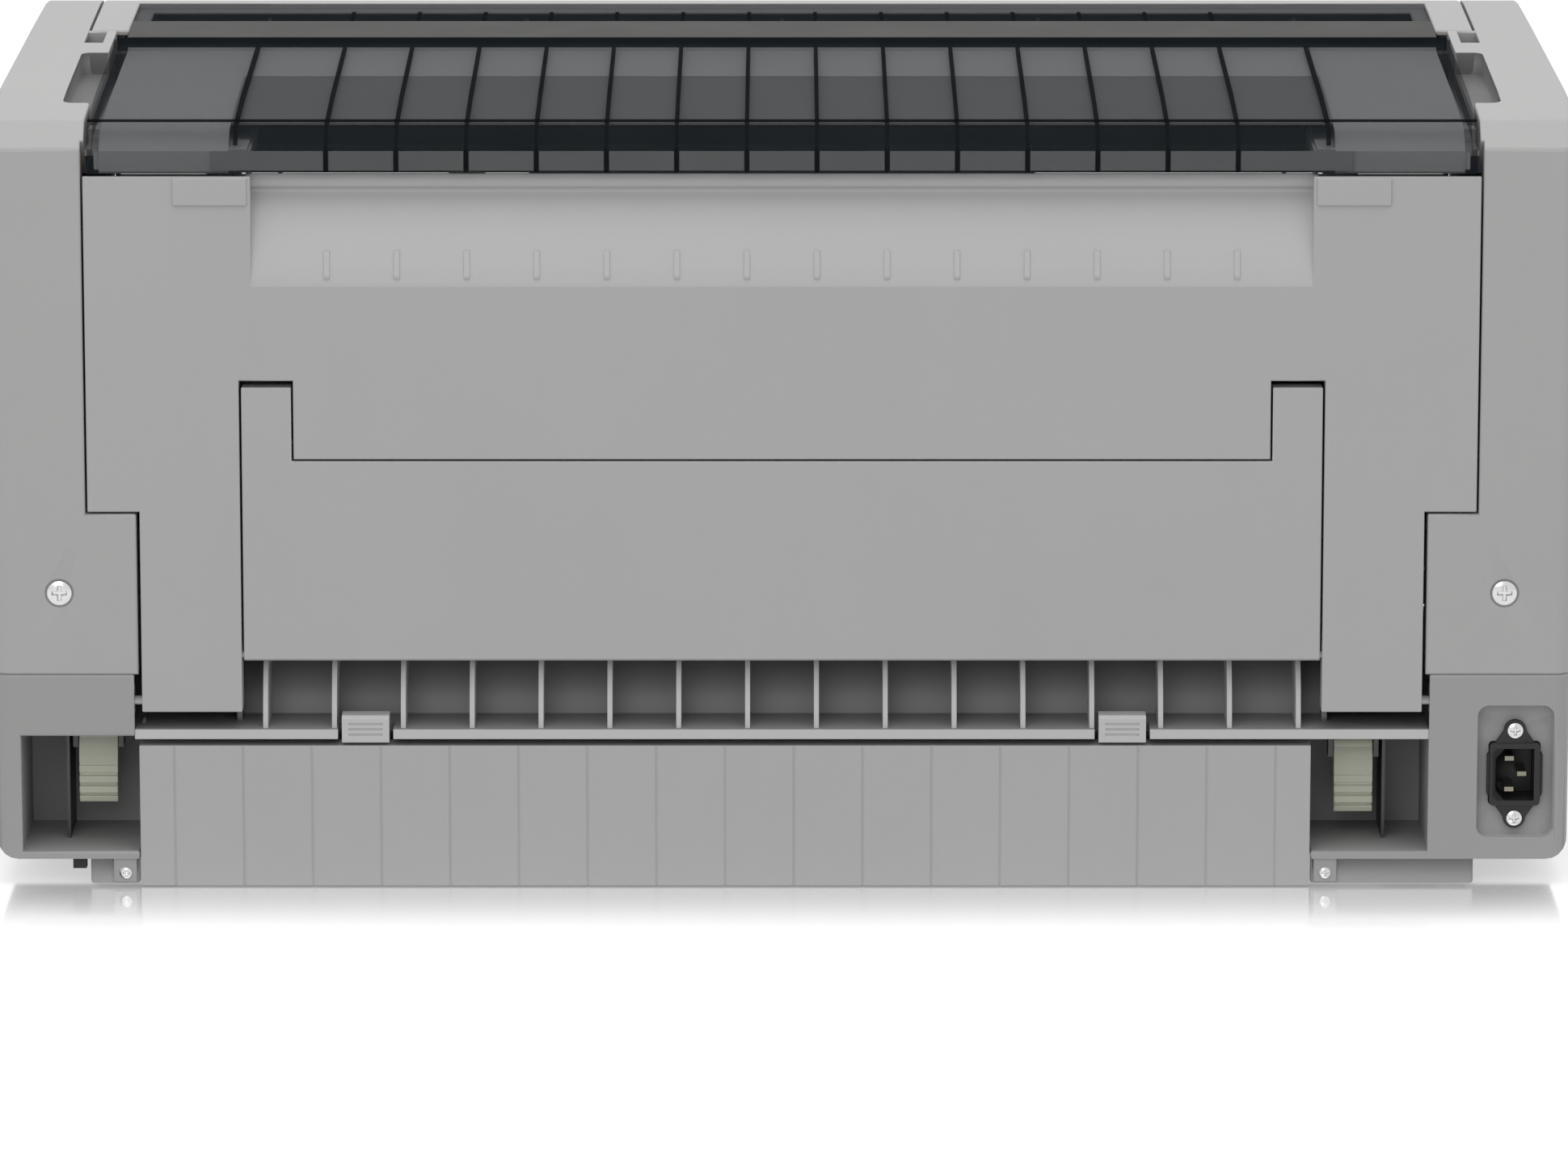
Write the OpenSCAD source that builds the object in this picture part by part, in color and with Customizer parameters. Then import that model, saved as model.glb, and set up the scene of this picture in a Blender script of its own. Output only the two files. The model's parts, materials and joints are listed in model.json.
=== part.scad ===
// Wide-carriage dot matrix printer with hinged covers.
// +Z is up, +Y is the rear where paper goes in and out, and the origin is on the
// resting plane under the middle of the body. Millimetres throughout.

/* [Body] */
// Width of the body across its rear
body_w = 700; // [690:1:712]
// Depth of the body from front to rear
body_d = 378; // [372:1:386]
// Height of the seam between the base and the side housings
base_h = 97; // [96:0.5:98]
// How far the rear top edge lies below the crown
rear_edge_drop = 21; // [19:0.5:22]
// Height of the crown at its highest point
crown_h = 354; // [352:0.5:357]
// How far each side draws in from rear to front
side_draw = 6; // [0:1:10]
// Wall thickness of the mouldings
wall = 3; // [2.4:0.1:3.4]
// Gap between neighbouring covers
seam = 1; // [0.6:0.1:1.2]
// Height of the side pods' underside
pod_z = 13; // [11:0.5:14]
// Radius of the pods' lower outer edges
pod_r = 10; // [4:1:14]
// Height of the rubber feet under the lower band
foot_h = 1.5; // [1:0.1:3]

/* [Rear covers] */
// Width of each side housing's rear face above the step
cheek_w = 42; // [40:0.5:44]
// Width of each side housing's rear face below the step
low_cheek_w = 64.5; // [63:0.5:66]
// How far the step in the side housings lies below the flap's upper edge
step_drop = 23.8; // [18:0.1:28]
// Width of the rear paper slot
slot_w = 478; // [474:1:480]
// Height of the slot's floor, which is the top of the ledge
slot_z = 72; // [71:0.5:73]
// Height of the lower edge of the flap
flap_z = 103; // [102:0.5:105]
// Height of the plain band between the flap and the scoop
cover_band = 78.3; // [74:0.1:82]
// Height of the flap's ears above its upper edge
ear_h = 33; // [27:0.5:38]
// Width of each ear
ear_w = 22; // [18:1:26]
// Height of the legs' lower ends
leg_z = 80; // [79:0.5:81]
// Height of the smoked lip's upright part
lip_h = 11; // [9:0.5:13]
// Width of the scoop under the lip
scoop_w = 467; // [460:1:470]
// Height of the scoop
scoop_h = 49; // [40:1:60]
// Depth of the scoop behind the rear face
scoop_d = 13; // [10:0.5:14]

/* [Paper path] */
// Number of ribs in the slot
slot_ribs = 16; // [8:1:20]
// Distance between neighbouring ribs
rib_pitch = 30.6; // [28:0.1:31]
// Thickness of a rib
rib_t = 2.2; // [1.6:0.1:3]
// Depth of a slot rib
rib_d = 28; // [20:1:30]
// Number of ribs on the smoked exit cover
exit_ribs = 14; // [8:1:18]
// Platen radius
platen_r = 20; // [18:0.5:21]
// Platen length
platen_l = 430; // [420:1:440]
// Platen axis, from the origin towards the rear
platen_y = -40; // [-42:0.5:-38]
// Height of the crown above the platen axis
platen_drop = 139; // [137:0.5:141]
// Width of a tractor
tractor_w = 24; // [22:1:28]
// Length of a tractor along the paper
tractor_l = 74; // [70:1:78]
// Distance of each tractor from the middle at rest
tractor_x = 170; // [150:1:180]
// Radius of the round shafts that carry the tractors
rail_r = 5; // [4:0.5:5.5]

/* [Carriage] */
// Radius of the carriage rod
rod_r = 8; // [7:0.5:8.5]
// Width of the carriage
carriage_w = 52; // [46:1:56]
// Travel of the carriage to each side
carriage_travel = 165; // [150:1:166]
// Pitch radius of the belt pulleys
pulley_r = 10; // [9:0.5:10.5]
// Distance of each pulley from the middle
pulley_x = 226; // [222:1:228]

/* [Base details] */
// Width of the two rear recesses
recess_w = 52; // [50:0.5:53]
// Depth of the two rear recesses
recess_d = 60; // [50:1:65]
// Width of a lever in a recess
lever_w = 17.3; // [15:0.1:19]
// Pitch of the two screws of the mains inlet
inlet_pitch = 40; // [39.5:0.1:40.5]
// Distance of the inlet's centre from the side
inlet_in = 24; // [23.5:0.1:24.5]
// Inlet centre height
inlet_z = 51; // [50:0.5:52]
// Width of a ledge latch
latch_w = 21; // [18:0.5:24]
// Travel of a ledge latch
latch_travel = 2; // [1:0.1:2.5]

/* [Front] */
// Width of the control panel
panel_w = 173; // [165:1:200]
// Distance between the front cover and the hood
front_cover_drop = 18; // [16:1:30]
// Width of a panel key
key_w = 15; // [12:0.5:17]
// Travel of a panel key
key_travel = 1.2; // [0.8:0.1:1.5]

/* [Hidden] */
$fn = 48;
e = 0.01;

// ---- shared places ----
half_w = body_w / 2;
yr = body_d / 2;                       // rear plane
yf = -body_d / 2;                      // front plane
rear_edge_h = crown_h - rear_edge_drop;
edge_drop = 11.5;                      // rise of the slope behind the rear edge
edge_run = 10.6;                       // depth of that slope
crease = [yr - edge_run, rear_edge_h + edge_drop];
lip_z = rear_edge_h - lip_h;             // lower edge of the smoked lip
cover_top = lip_z - 1.2;
flap_top = cover_top - scoop_h - cover_band;
ear_top = flap_top + ear_h;
step_z = flap_top - step_drop;
platen_z = crown_h - platen_drop;
roof_z = crown_h - 54;                 // top of the chassis
cheek_x = half_w - cheek_w;            // inner edge of the housings' rear face
low_cheek_x = half_w - low_cheek_w;
cover_x = cheek_x - seam;              // half width of the rear cover
top_gap = 1.2;                         // gap beside the smoked covers
exit_x = cheek_x - 1.5 - top_gap;      // half width of the smoked exit cover
inner_x = exit_x + top_gap;            // inner edge of the housings' tops
hood_x = exit_x + 13.2;                // half width of the front hood
hood_edge_x = hood_x + seam;           // inner edge of the housings beside the hood
hood_y = -31;                          // rear end of the hood's side frames
bar_y = [-56, -12.5];                  // hinge bar, front and rear
window_y = yf + 83;                     // front edge of the hood window
hood_z = crown_h - 92;                    // lower edge of the hood at the front

// Crown line from the rear edge to the foot of the front, as [y, z]
crown = [[yr, rear_edge_h], crease, [yr - 69, crown_h - 5.7], [yf + 141, crown_h - 1],
    [window_y, crown_h]];
nose = [[yf + 59, crown_h - 1.5], [yf + 23, crown_h - 31], [yf + 6, hood_z]];
fold_z = hood_z - 30;                  // where the front starts to lean back
function rev(p) = [for (i = [len(p) - 1:-1:0]) p[i]];
function unit(v) = v / norm(v);
function skin(y) = lookup(y, rev(crown));

// Part of the crown line between two depths, from rear to front
function crown_run(y1, y0) = concat([[y1, skin(y1)]],
    [for (p = crown) if (p[0] < y1 && p[0] > y0) p], [[y0, skin(y0)]]);

// Closed outline of an open line with a thickness t to its left
function band(p, t) = let (n = len(p), u = [for (i = [0:n - 2]) unit(p[i + 1] - p[i])],
    m = [for (v = u) [-v[1], v[0]]])
    concat(p, rev([for (i = [0:n - 1]) let (a = m[max(i - 1, 0)], b = m[min(i, n - 2)])
        p[i] + t * (a + b) / (1 + a * b)]));

// Outline drawn in by d, for an outline that runs counter-clockwise
function inset(p, d) = let (n = len(p)) [for (i = [0:n - 1])
    let (u = unit(p[i] - p[(i + n - 1) % n]), v = unit(p[(i + 1) % n] - p[i]),
        a = [-u[1], u[0]], b = [-v[1], v[0]]) p[i] + d * (a + b) / (1 + a * b)];

// Arc that rounds the corner b between a and c
function corner(a, b, c, r, n = 5) = let (u = unit(a - b), v = unit(c - b),
    w = acos(u * v), o = b + unit(u + v) * r / sin(w / 2), s = b + u * r / tan(w / 2) - o,
    turn = sign((b[0] - a[0]) * (c[1] - b[1]) - (b[1] - a[1]) * (c[0] - b[0])))
    [for (k = [0:n]) let (t = turn * (180 - w) * k / n)
        o + [s[0] * cos(t) - s[1] * sin(t), s[0] * sin(t) + s[1] * cos(t)]];

// Open line with its inner corners rounded by the radii in r
function soften(p, r, n = 5) = let (m = len(p)) concat([p[0]],
    [for (i = [1:m - 2]) for (q = r[i - 1] > 0 ? corner(p[i - 1], p[i], p[i + 1], r[i - 1], n)
        : [p[i]]) q], [p[m - 1]]);

nose_line = soften(concat([crown[4]], nose), [26, 46]);
// Crown line from depth y1 forward and down the nose
function crown_nose(y1) = concat([[y1, skin(y1)]],
    [for (p = crown) if (p[0] < y1 && p[0] > crown[4][0]) p], nose_line);
front_line = soften([crown[4], nose[0], nose[1], nose[2], [yf, fold_z], [yf, base_h]], [26, 46, 120, 60]);
side_line = concat(crown, [for (i = [1:len(front_line) - 1]) front_line[i]]);

// ---- shared shapes ----
module along_x(x0, x1) translate([x0, 0, 0]) rotate([90, 0, 90])
    linear_extrude(x1 - x0) children();
module along_y(y0, y1) translate([0, y1, 0]) rotate([90, 0, 0]) linear_extrude(y1 - y0) children();
module both() { children(); mirror([1, 0, 0]) children(); }
module side(s) if (s < 0) mirror([1, 0, 0]) children(); else children();
module block(x, y, z) translate([x[0], y[0], z[0]]) cube([x[1] - x[0], y[1] - y[0], z[1] - z[0]]);
module rod_x(x0, x1, p, r) translate([x0, p[0], p[1]]) rotate([0, 90, 0]) cylinder(h = x1 - x0, r = r);
module rod_y(y0, y1, x, z, r, r2 = -1) translate([x, y0, z]) rotate([-90, 0, 0])
    cylinder(h = y1 - y0, r1 = r, r2 = r2 < 0 ? r : r2);
module rod_z(z0, z1, x, y, r) translate([x, y, z0]) cylinder(h = z1 - z0, r = r);
// Rectangle from corner a to corner b with round corners
module rrect(a, b, r) {
    translate([a[0] + r, a[1]]) square([b[0] - a[0] - 2 * r, b[1] - a[1]]);
    translate([a[0], a[1] + r]) square([b[0] - a[0], b[1] - a[1] - 2 * r]);
    for (x = [a[0] + r, b[0] - r], y = [a[1] + r, b[1] - r]) translate([x, y]) circle(r);
}
function ribs_at(n, pitch) = [for (i = [0:n - 1]) (i - (n - 1) / 2) * pitch];

// Spur gear outline with straight-sided points along the involute
gear_m = 1.25;
function inv(rb, r) = let (a = acos(min(1, rb / r))) tan(a) * 180 / PI - a;
module gear_shape(z, turn) {
    r = gear_m * z / 2;
    rb = r * cos(20);
    ra = r + 0.9 * gear_m;
    rf = r - 1.2 * gear_m;
    thick = (90 - 16 / gear_m) / z + inv(rb, r);
    rs = [max(rb, rf + 0.2), r, ra];
    polygon([for (i = [0:z - 1]) let (c = turn + i * 360 / z) each concat(
        [rf * [cos(c - 180 / z + 20 / z), sin(c - 180 / z + 20 / z)]],
        [for (q = rs) q * [cos(c - thick + inv(rb, q)), sin(c - thick + inv(rb, q))]],
        [for (q = rev(rs)) q * [cos(c + thick - inv(rb, q)), sin(c + thick - inv(rb, q))]],
        [rf * [cos(c + 180 / z - 20 / z), sin(c + 180 / z - 20 / z)]])]);
}

// ---- side housings ----
screw_x = half_w - 30;
screw_z = (base_h + step_z) / 2 + 0.65;
screw_r = 2.9;
notch_y = [26, 145];                   // finger notch beside the smoked cover
notch_w = 12;
notch_d = 10;
cover_axis = [-11, skin(-11) - 2.8];   // axis of the smoked exit cover
hood_axis = [-40, skin(-40) - 4];      // axis of the front hood
pin_r = 2;
pin_clear = 0.06;

module housing_body(g) intersection() {
    along_x(0, half_w) polygon(inset(concat([[yf, base_h], [yr, base_h]],
        [for (i = [0:len(side_line) - 2]) side_line[i]]), g));
    linear_extrude(crown_h + 10) polygon(inset(concat([[0, yf], [half_w - side_draw, yf]],
        corner([half_w - side_draw, yf], [half_w, yr], [0, yr], 7), [[0, yr]]), g));
}

module housing() {
    difference() {
        union() {
            difference() {
                housing_body(0);
                housing_body(wall);
                block([-e, half_w - side_draw - wall], [yf + wall, yr - wall], [base_h - e, base_h + wall + 1]);
                // inner edges of the rear face, the top and the front
                block([-e, low_cheek_x], [yf - e, yr + e], [0, crown_h + 20]);
                block([-e, cheek_x], [0, yr + e], [step_z, crown_h + 20]);
                block([-e, hood_edge_x], [yf - e, 0], [0, crown_h + 20]);
            }
            // returns along the inner edges
            intersection() {
                housing_body(0.5);
                union() {
                    block([cheek_x, cheek_x + wall], [yr - 17, yr - 1], [step_z, crown_h]);
                    block([low_cheek_x, low_cheek_x + wall], [yr - 17, yr - 1], [base_h, step_z]);
                    block([low_cheek_x, cheek_x + wall], [yr - 17, yr - 1], [step_z - wall, step_z]);
                }
            }
            along_x(inner_x, cheek_x + wall) polygon(band(crown_run(yr - 3, hood_y), 26));
            along_x(hood_edge_x, hood_edge_x + wall)
                polygon(band(crown_nose(hood_y), 22));
            along_x(inner_x, hood_edge_x + wall) polygon(band(crown_run(hood_y + wall, hood_y), 26));
            // pocket of the finger notch
            along_x(inner_x, inner_x + notch_w + wall)
                polygon(band(crown_run(notch_y[1] + wall, notch_y[0] - wall), notch_d + wall));
            // screw boss
            rod_y(yr - 14, yr - 1, screw_x, screw_z, 6);
            // foot that screws down to the base at the front
            block([hood_edge_x, half_w - side_draw - 1], [yf + 1, yf + 14], [base_h, base_h + wall]);
        }
        translate([0, 0, -notch_d]) intersection() {
            along_x(inner_x - 1, inner_x + notch_w)
                polygon(band(crown_run(notch_y[1], notch_y[0]), -40));
            linear_extrude(crown_h + 60) rrect([inner_x - 20, notch_y[0]], [inner_x + notch_w, notch_y[1]], 5);
        }
        rod_x(inner_x - 5, inner_x + 9, cover_axis, pin_r + pin_clear);
        rod_x(hood_edge_x - 3, hood_edge_x + 9, hood_axis, pin_r + pin_clear);
        rod_y(yr - 20, yr + 1, screw_x, screw_z, screw_r);
        rod_y(yr - 1.2, yr + 1, screw_x, screw_z, 6.5);
    }
}
module left_housing() color("#a7a7a5") housing();
module right_housing() color("#a7a7a5") mirror([1, 0, 0]) housing();

// ---- base tray ----
ledge_t = 4.5;
panel_top = slot_z - ledge_t - 3;      // top of the bottom guide panel
panel_x = [-235.4, low_cheek_x + 0.5];     // its two ends
recess_top = slot_z - 3;
recess_z = 16.4;
recess_l = [low_cheek_x + 0.5, low_cheek_x + 0.5 + recess_w];
recess_r = [panel_x[0] - recess_w, panel_x[0]];
inlet_x = half_w - inlet_in;
pocket_x = [-inlet_x - 17, -inlet_x + 17];
pocket_z = [inlet_z - 28, inlet_z + 32];
pocket_d = 6;
band_y = [yf + 29, yr - 2];               // lower band of the base
band_x = half_w - 42;
leg_pin = [yr - 2.7, leg_z + 5];       // axis of the rear cover
leg_x = [slot_w / 2 + 0.5, low_cheek_x - 1.5];
leg_gap_x = low_cheek_x + 2;           // inner edge of the base beside the legs
vent_n = 9;
clip_w = 10.4;
clip_t = 1.2;
clip_x = [panel_x[1] + 1.4, panel_x[0] - 1.4 - clip_w];
clip_screw_z = 6.5;
clip_screw_r = 2.4;

module base_body(g) intersection() {
    along_y(yf, yr) polygon(inset(concat([[half_w, base_h], [-half_w, base_h]],
        corner([-half_w, base_h], [-half_w, pod_z], [half_w, pod_z], pod_r),
        corner([-half_w, pod_z], [half_w, pod_z], [half_w, base_h], pod_r)), g));
    linear_extrude(base_h + 1) polygon(inset(concat([[-half_w + side_draw, yf], [half_w - side_draw, yf]],
        corner([half_w - side_draw, yf], [half_w, yr], [-half_w, yr], 7),
        corner([half_w, yr], [-half_w, yr], [-half_w + side_draw, yf], 7)), g));
}
module base_tray() color("#969794") {
    difference() {
        union() {
            difference() {
                base_body(0);
                intersection() {
                    base_body(wall);
                    block([-half_w, half_w], [yf, yr], [0, base_h - wall]);
                }
                block([-half_w + side_draw + 2 * wall, half_w - side_draw - 2 * wall],
                    [yf + 2 * wall, yr - 2 * wall], [base_h - wall - 1, base_h + 1]);
            }
            // recess liners and the inlet pocket
            block([recess_l[0] - 2, recess_l[1] + 2], [yr - recess_d - 2, yr - 1], [pod_z + 1, recess_top + 2]);
            block([recess_r[0] - 2, recess_r[1] + 2], [yr - recess_d - 2, yr - 1], [pod_z + 1, panel_top + 2.4]);
            block([pocket_x[0] - 2, pocket_x[1] + 2], [yr - pocket_d - 2, yr - 1],
                [pocket_z[0] - 2, pocket_z[1] + 2]);
            // bearing bosses for the rear cover's pins
            both() block([leg_gap_x, leg_gap_x + 7], [yr - 9, yr - 0.4], [leg_pin[1] - 7, leg_pin[1] + 7]);
            // lower band
            difference() {
                block([-band_x, band_x], band_y, [foot_h, pod_z + 1]);
                block([-band_x + wall, band_x - wall], [band_y[0] + wall, band_y[1] - wall], [0, pod_z]);
            }
            for (x = [-190, -60, 70, 200]) block([x, x + 2.4], [band_y[0] + 1, band_y[1] - 1], [foot_h + 2, pod_z + 1]);
            // clips at the ends of the guide panel
            for (x = clip_x) block([x, x + clip_w], [band_y[1] - 1, band_y[1] + clip_t], [foot_h + 0.5, pod_z + 0.5]);
            // box round the power switch
            block([switch_x - switch_w / 2 - 4, switch_x + switch_w / 2 + 4], [yf + 1, yf + 13], [switch_z - 13, switch_z + 13]);
        }
        block(recess_l, [yr - recess_d, yr + 1], [recess_z, recess_top]);
        block(recess_r, [yr - recess_d, yr + 1], [recess_z, panel_top]);
        for (x = clip_x) rod_y(band_y[1] - 8, yr, x + clip_w / 2, clip_screw_z, clip_screw_r + 0.2);
        along_y(yr - pocket_d, yr + 1) rrect([pocket_x[0], pocket_z[0]], [pocket_x[1], pocket_z[1]], 5);
        along_y(yr - 40, yr + 1) rrect([-inlet_x - 11.6, inlet_z - 14.6], [-inlet_x + 11.6, inlet_z + 14.6], 2);
        for (k = [-1, 1]) rod_y(yr - 20, yr, -inlet_x, inlet_z + k * inlet_pitch / 2, 1.8);
        rod_y(yr - 6, yr + 1, -inlet_x + 7, pocket_z[1] - 3.5, 1.5);
        // opening of the rear face for the guide panel, the ledge and the cover's legs
        block([panel_x[0], panel_x[1]], [yr - 14, yr + 1], [0, base_h + 1]);
        block([recess_r[0], recess_l[0]], [yr - 30, yr + 1], [panel_top, base_h + 1]);
        block([-leg_gap_x, leg_gap_x], [yr - 14, yr + 1], [slot_z - ledge_t, base_h + 1]);
        both() rod_x(leg_gap_x - 2, leg_gap_x + 9, leg_pin, pin_r + pin_clear);
        // cooling slots in both sides
        for (k = [0:vent_n - 1]) translate([0, -80 + k * 14, 0])
            block([-half_w - 1, half_w + 1], [0, 6], [44, 82]);
        // switch opening
        block([switch_x - switch_w / 2 - 0.8, switch_x + switch_w / 2 + 0.8], [yf - 1, yf + 14], [switch_z - 10.6, switch_z + 10.6]);
        rod_x(switch_x - switch_w / 2 - 3.4, switch_x + switch_w / 2 + 3.4, switch_axis, 1.6 + pin_clear);
    }
}

// ---- bottom guide panel ----
module bottom_guide_panel() color("#a0a09e") difference() {
    union() {
        block([panel_x[0] + 0.4, panel_x[1] - 0.4], [yr - 3.4, yr - 0.4], [0.6, panel_top]);
        block([panel_x[0] + 0.4, panel_x[1] - 0.4], [yr - 14, yr - 1], [panel_top - 2.4, panel_top]);
        for (x = ribs_at(8, 62)) block([x + 25, x + 27], [yr - 14, yr - 1], [pod_z + 1, panel_top - 1]);
    }
    for (x = ribs_at(17, rib_pitch)) translate([x + rib_pitch / 2 + 10, yr - 0.4, -1]) rotate(45)
        translate([-0.5, -0.5, 0]) cube([1, 1, panel_top + 2]);
    for (x = latch_x) block([x - stem_w / 2 - 1, x + stem_w / 2 + 1], [yr - 15, yr - 7.5], [panel_top - 5, panel_top + 1]);
}

// ---- paper ramp: ledge, ribs and inner wall ----
ramp_o = [yr - 63, slot_z - 4];        // centre of the ribs' arc
ramp_r = 60;
ramp_end = [platen_y + 158, platen_z - 54];
ramp_turn = 45;
function ramp_arc(r) = [for (t = [4:5.125:ramp_turn]) ramp_o + r * [cos(t), sin(t)]];
latch_x = [185, -151.2];
latch_gap = 1.8;
stem_w = 9;
ramp_wall_x = slot_w / 2 + 4;

// Line where the ribs meet the inner wall
rib_back = concat([[ramp_o[0] + ramp_r - rib_d, slot_z - 2]], ramp_arc(ramp_r - rib_d),
    [ramp_end - [rib_d, rib_d] * 0.7]);
module entry_ribs() color("#9b9c9a") for (x = ribs_at(slot_ribs, rib_pitch))
    along_x(x - rib_t / 2, x + rib_t / 2) intersection() {
        polygon(concat(rib_back, [ramp_end], rev(ramp_arc(ramp_r)), [[ramp_o[0] + ramp_r - 0.4, slot_z - 2]]));
        translate([0, slot_z]) square([yr, crown_h]);
    }
module paper_ramp() color("#9b9c9a") difference() {
    union() {
        block([-leg_gap_x, leg_gap_x], [yr - 13.6, yr - 0.6], [slot_z - ledge_t, slot_z]);
        block([-leg_gap_x, recess_l[0] - 2.4], [yr - 32, yr - 10], [slot_z - ledge_t, slot_z]);
        block([recess_r[1] + 2.4, recess_l[0] - 2.4], [yr - 34, yr - 30], [panel_top - 12, slot_z]);
        // inner wall in front of the ribs
        along_x(-ramp_wall_x, ramp_wall_x) polygon(band(rib_back, 2.4));
        // end walls, with flanges that reach the chassis side plates
        both() {
            along_x(ramp_wall_x - 2.4, ramp_wall_x) polygon(concat(
                [[ramp_o[0] + ramp_r - rib_d - 4, slot_z - 1], [ramp_o[0] + ramp_r - 14, slot_z - 1]],
                ramp_arc(ramp_r - 14), [ramp_end + [-6, -6]],
                [ramp_end - [rib_d, rib_d] * 0.75]));
            block([ramp_wall_x - 1, plate_x - plate_t / 2], [plate_y[1] - 14, plate_y[1] - 2],
                [ramp_end[1] - 23, ramp_end[1] - 20]);
        }
        for (x = latch_x) block([x - 9, x + 9], [yr - 40, yr - 20], [slot_z - ledge_t - 9.5, slot_z - 1]);
    }
    for (x = latch_x) {
        block([x - latch_w / 2 - latch_gap, x + latch_w / 2 + latch_gap], [yr - 16, yr + 1], [40, slot_z + 1]);
        block([x - latch_w / 2 - 0.6, x + latch_w / 2 + 0.6], [yr - 16.4, yr + 1], [40, slot_z + 30]);
        block([x - stem_w / 2 - 0.3, x + stem_w / 2 + 0.3], [yr - 41, yr - 10], [slot_z - ledge_t - 6.3, slot_z - ledge_t + 0.3]);
    }
}

// ---- ledge latches ----
module latch(x) color("#acada9") {
    difference() {
        block([x - latch_w / 2, x + latch_w / 2], [yr - 11, yr - 0.8], [slot_z - 6, slot_z + 6]);
        translate([x, yr - 0.8, slot_z + 6]) rotate([45, 0, 0]) cube([latch_w + 2, 2, 2], center = true);
        for (k = [-1, 0, 1]) block([x - latch_w / 2 + 3, x + latch_w / 2 - 3], [yr - 1.3, yr],
            [slot_z + k * 2.4 - 0.5, slot_z + k * 2.4 + 0.5]);
    }
    block([x - stem_w / 2, x + stem_w / 2], [yr - 36, yr - 10], [slot_z - ledge_t - 6, slot_z - ledge_t]);
}
module left_latch() latch(latch_x[0]);
module right_latch() latch(latch_x[1]);

// ---- levers in the recesses ----
lever_x = [recess_l[0] + 19.9, recess_r[1] - 20.3];
lever_top = [recess_top, panel_top];   // ceiling above each lever
lever_drop = 6.5;                      // from the ceiling down to the pivot
lever_l = 30;
lever_pin_r = 1.8;
lever_y = yr - 34;
module lever(i) color("#8f9185") translate([lever_x[i], lever_y, lever_top[i] - lever_drop]) difference() {
    union() {
        along_x(-lever_w / 2, lever_w / 2) polygon([[-3, 0], [-3, -lever_l], [6, -lever_l],
            [7.5, 4 - lever_l], [5, -4], [3, 0]]);
        rod_x(-lever_w / 2, lever_w / 2, [0, 0], 3.6);
    }
    rod_x(-lever_w, lever_w, [0, 0], lever_pin_r + pin_clear);
    for (k = [0:4]) block([-lever_w, lever_w], [5.6, 10], [3 + k * 4.6 - lever_l, 4.2 + k * 4.6 - lever_l]);
}
module left_lever() lever(0);
module right_lever() lever(1);
module lever_brackets() color("#4c4e50") for (i = [0, 1]) translate([lever_x[i], 0, 0]) {
    z = lever_top[i] - lever_drop;
    rod_x(-lever_w / 2 - 2.4, lever_w / 2 + 2.4, [lever_y, z], lever_pin_r);
    for (k = [-1, 1]) block([k * (lever_w / 2 + 1.5) - 1.1, k * (lever_w / 2 + 1.5) + 1.1],
        [lever_y - 5, lever_y + 5], [z - 5, lever_top[i]]);
    // screen beside the lever, from the recess floor to its top
    s = i == 0 ? lever_w / 2 + 4 : -lever_w / 2 - 5.4;
    block([s, s + 1.4], [yr - recess_d, yr - 26], [recess_z, lever_top[i]]);
}

// ---- rear cover ----
cover_t = 2.6;
cover_deep = 14;
flap_gap = 0.9;
ear_gap = 3.1;
flap_x = slot_w / 2 - 0.5;
ear_x = flap_x - ear_w;               // inner edge of each ear
flap_axis = [yr - 2.6, flap_z + 2.6];
scoop_rib = [2.4, 0.5];                // width and height of the faint ribs in the scoop
function scoop_point(s) = [yr - scoop_d * (0.35 * (1 - s) + 0.65 * pow(1 - s, 2)), cover_top - 9 - (scoop_h - 9) * s];
scoop_line = [for (k = [0:8]) scoop_point(k / 8)];
scoop_foot = scoop_line[8] + unit(scoop_line[8] - scoop_line[7]) * 3;
bar_c = [yr - scoop_d + 0.8, cover_top - 3.6];
bar_r = 3.2;

module cover_face() difference() {
    union() {
        translate([-cover_x, step_z + seam]) square([2 * cover_x, cover_top - step_z - seam]);
        for (k = [-1, 1]) translate([k > 0 ? leg_x[0] : -leg_x[1], leg_z])
            square([leg_x[1] - leg_x[0], step_z - leg_z + 2]);
    }
    translate([-leg_x[0], 0]) square([2 * leg_x[0], flap_top + flap_gap]);
    for (k = [-1, 1]) translate([k > 0 ? ear_x - flap_gap : -leg_x[0], 0])
        square([leg_x[0] - ear_x + flap_gap, ear_top + ear_gap]);
}
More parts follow.
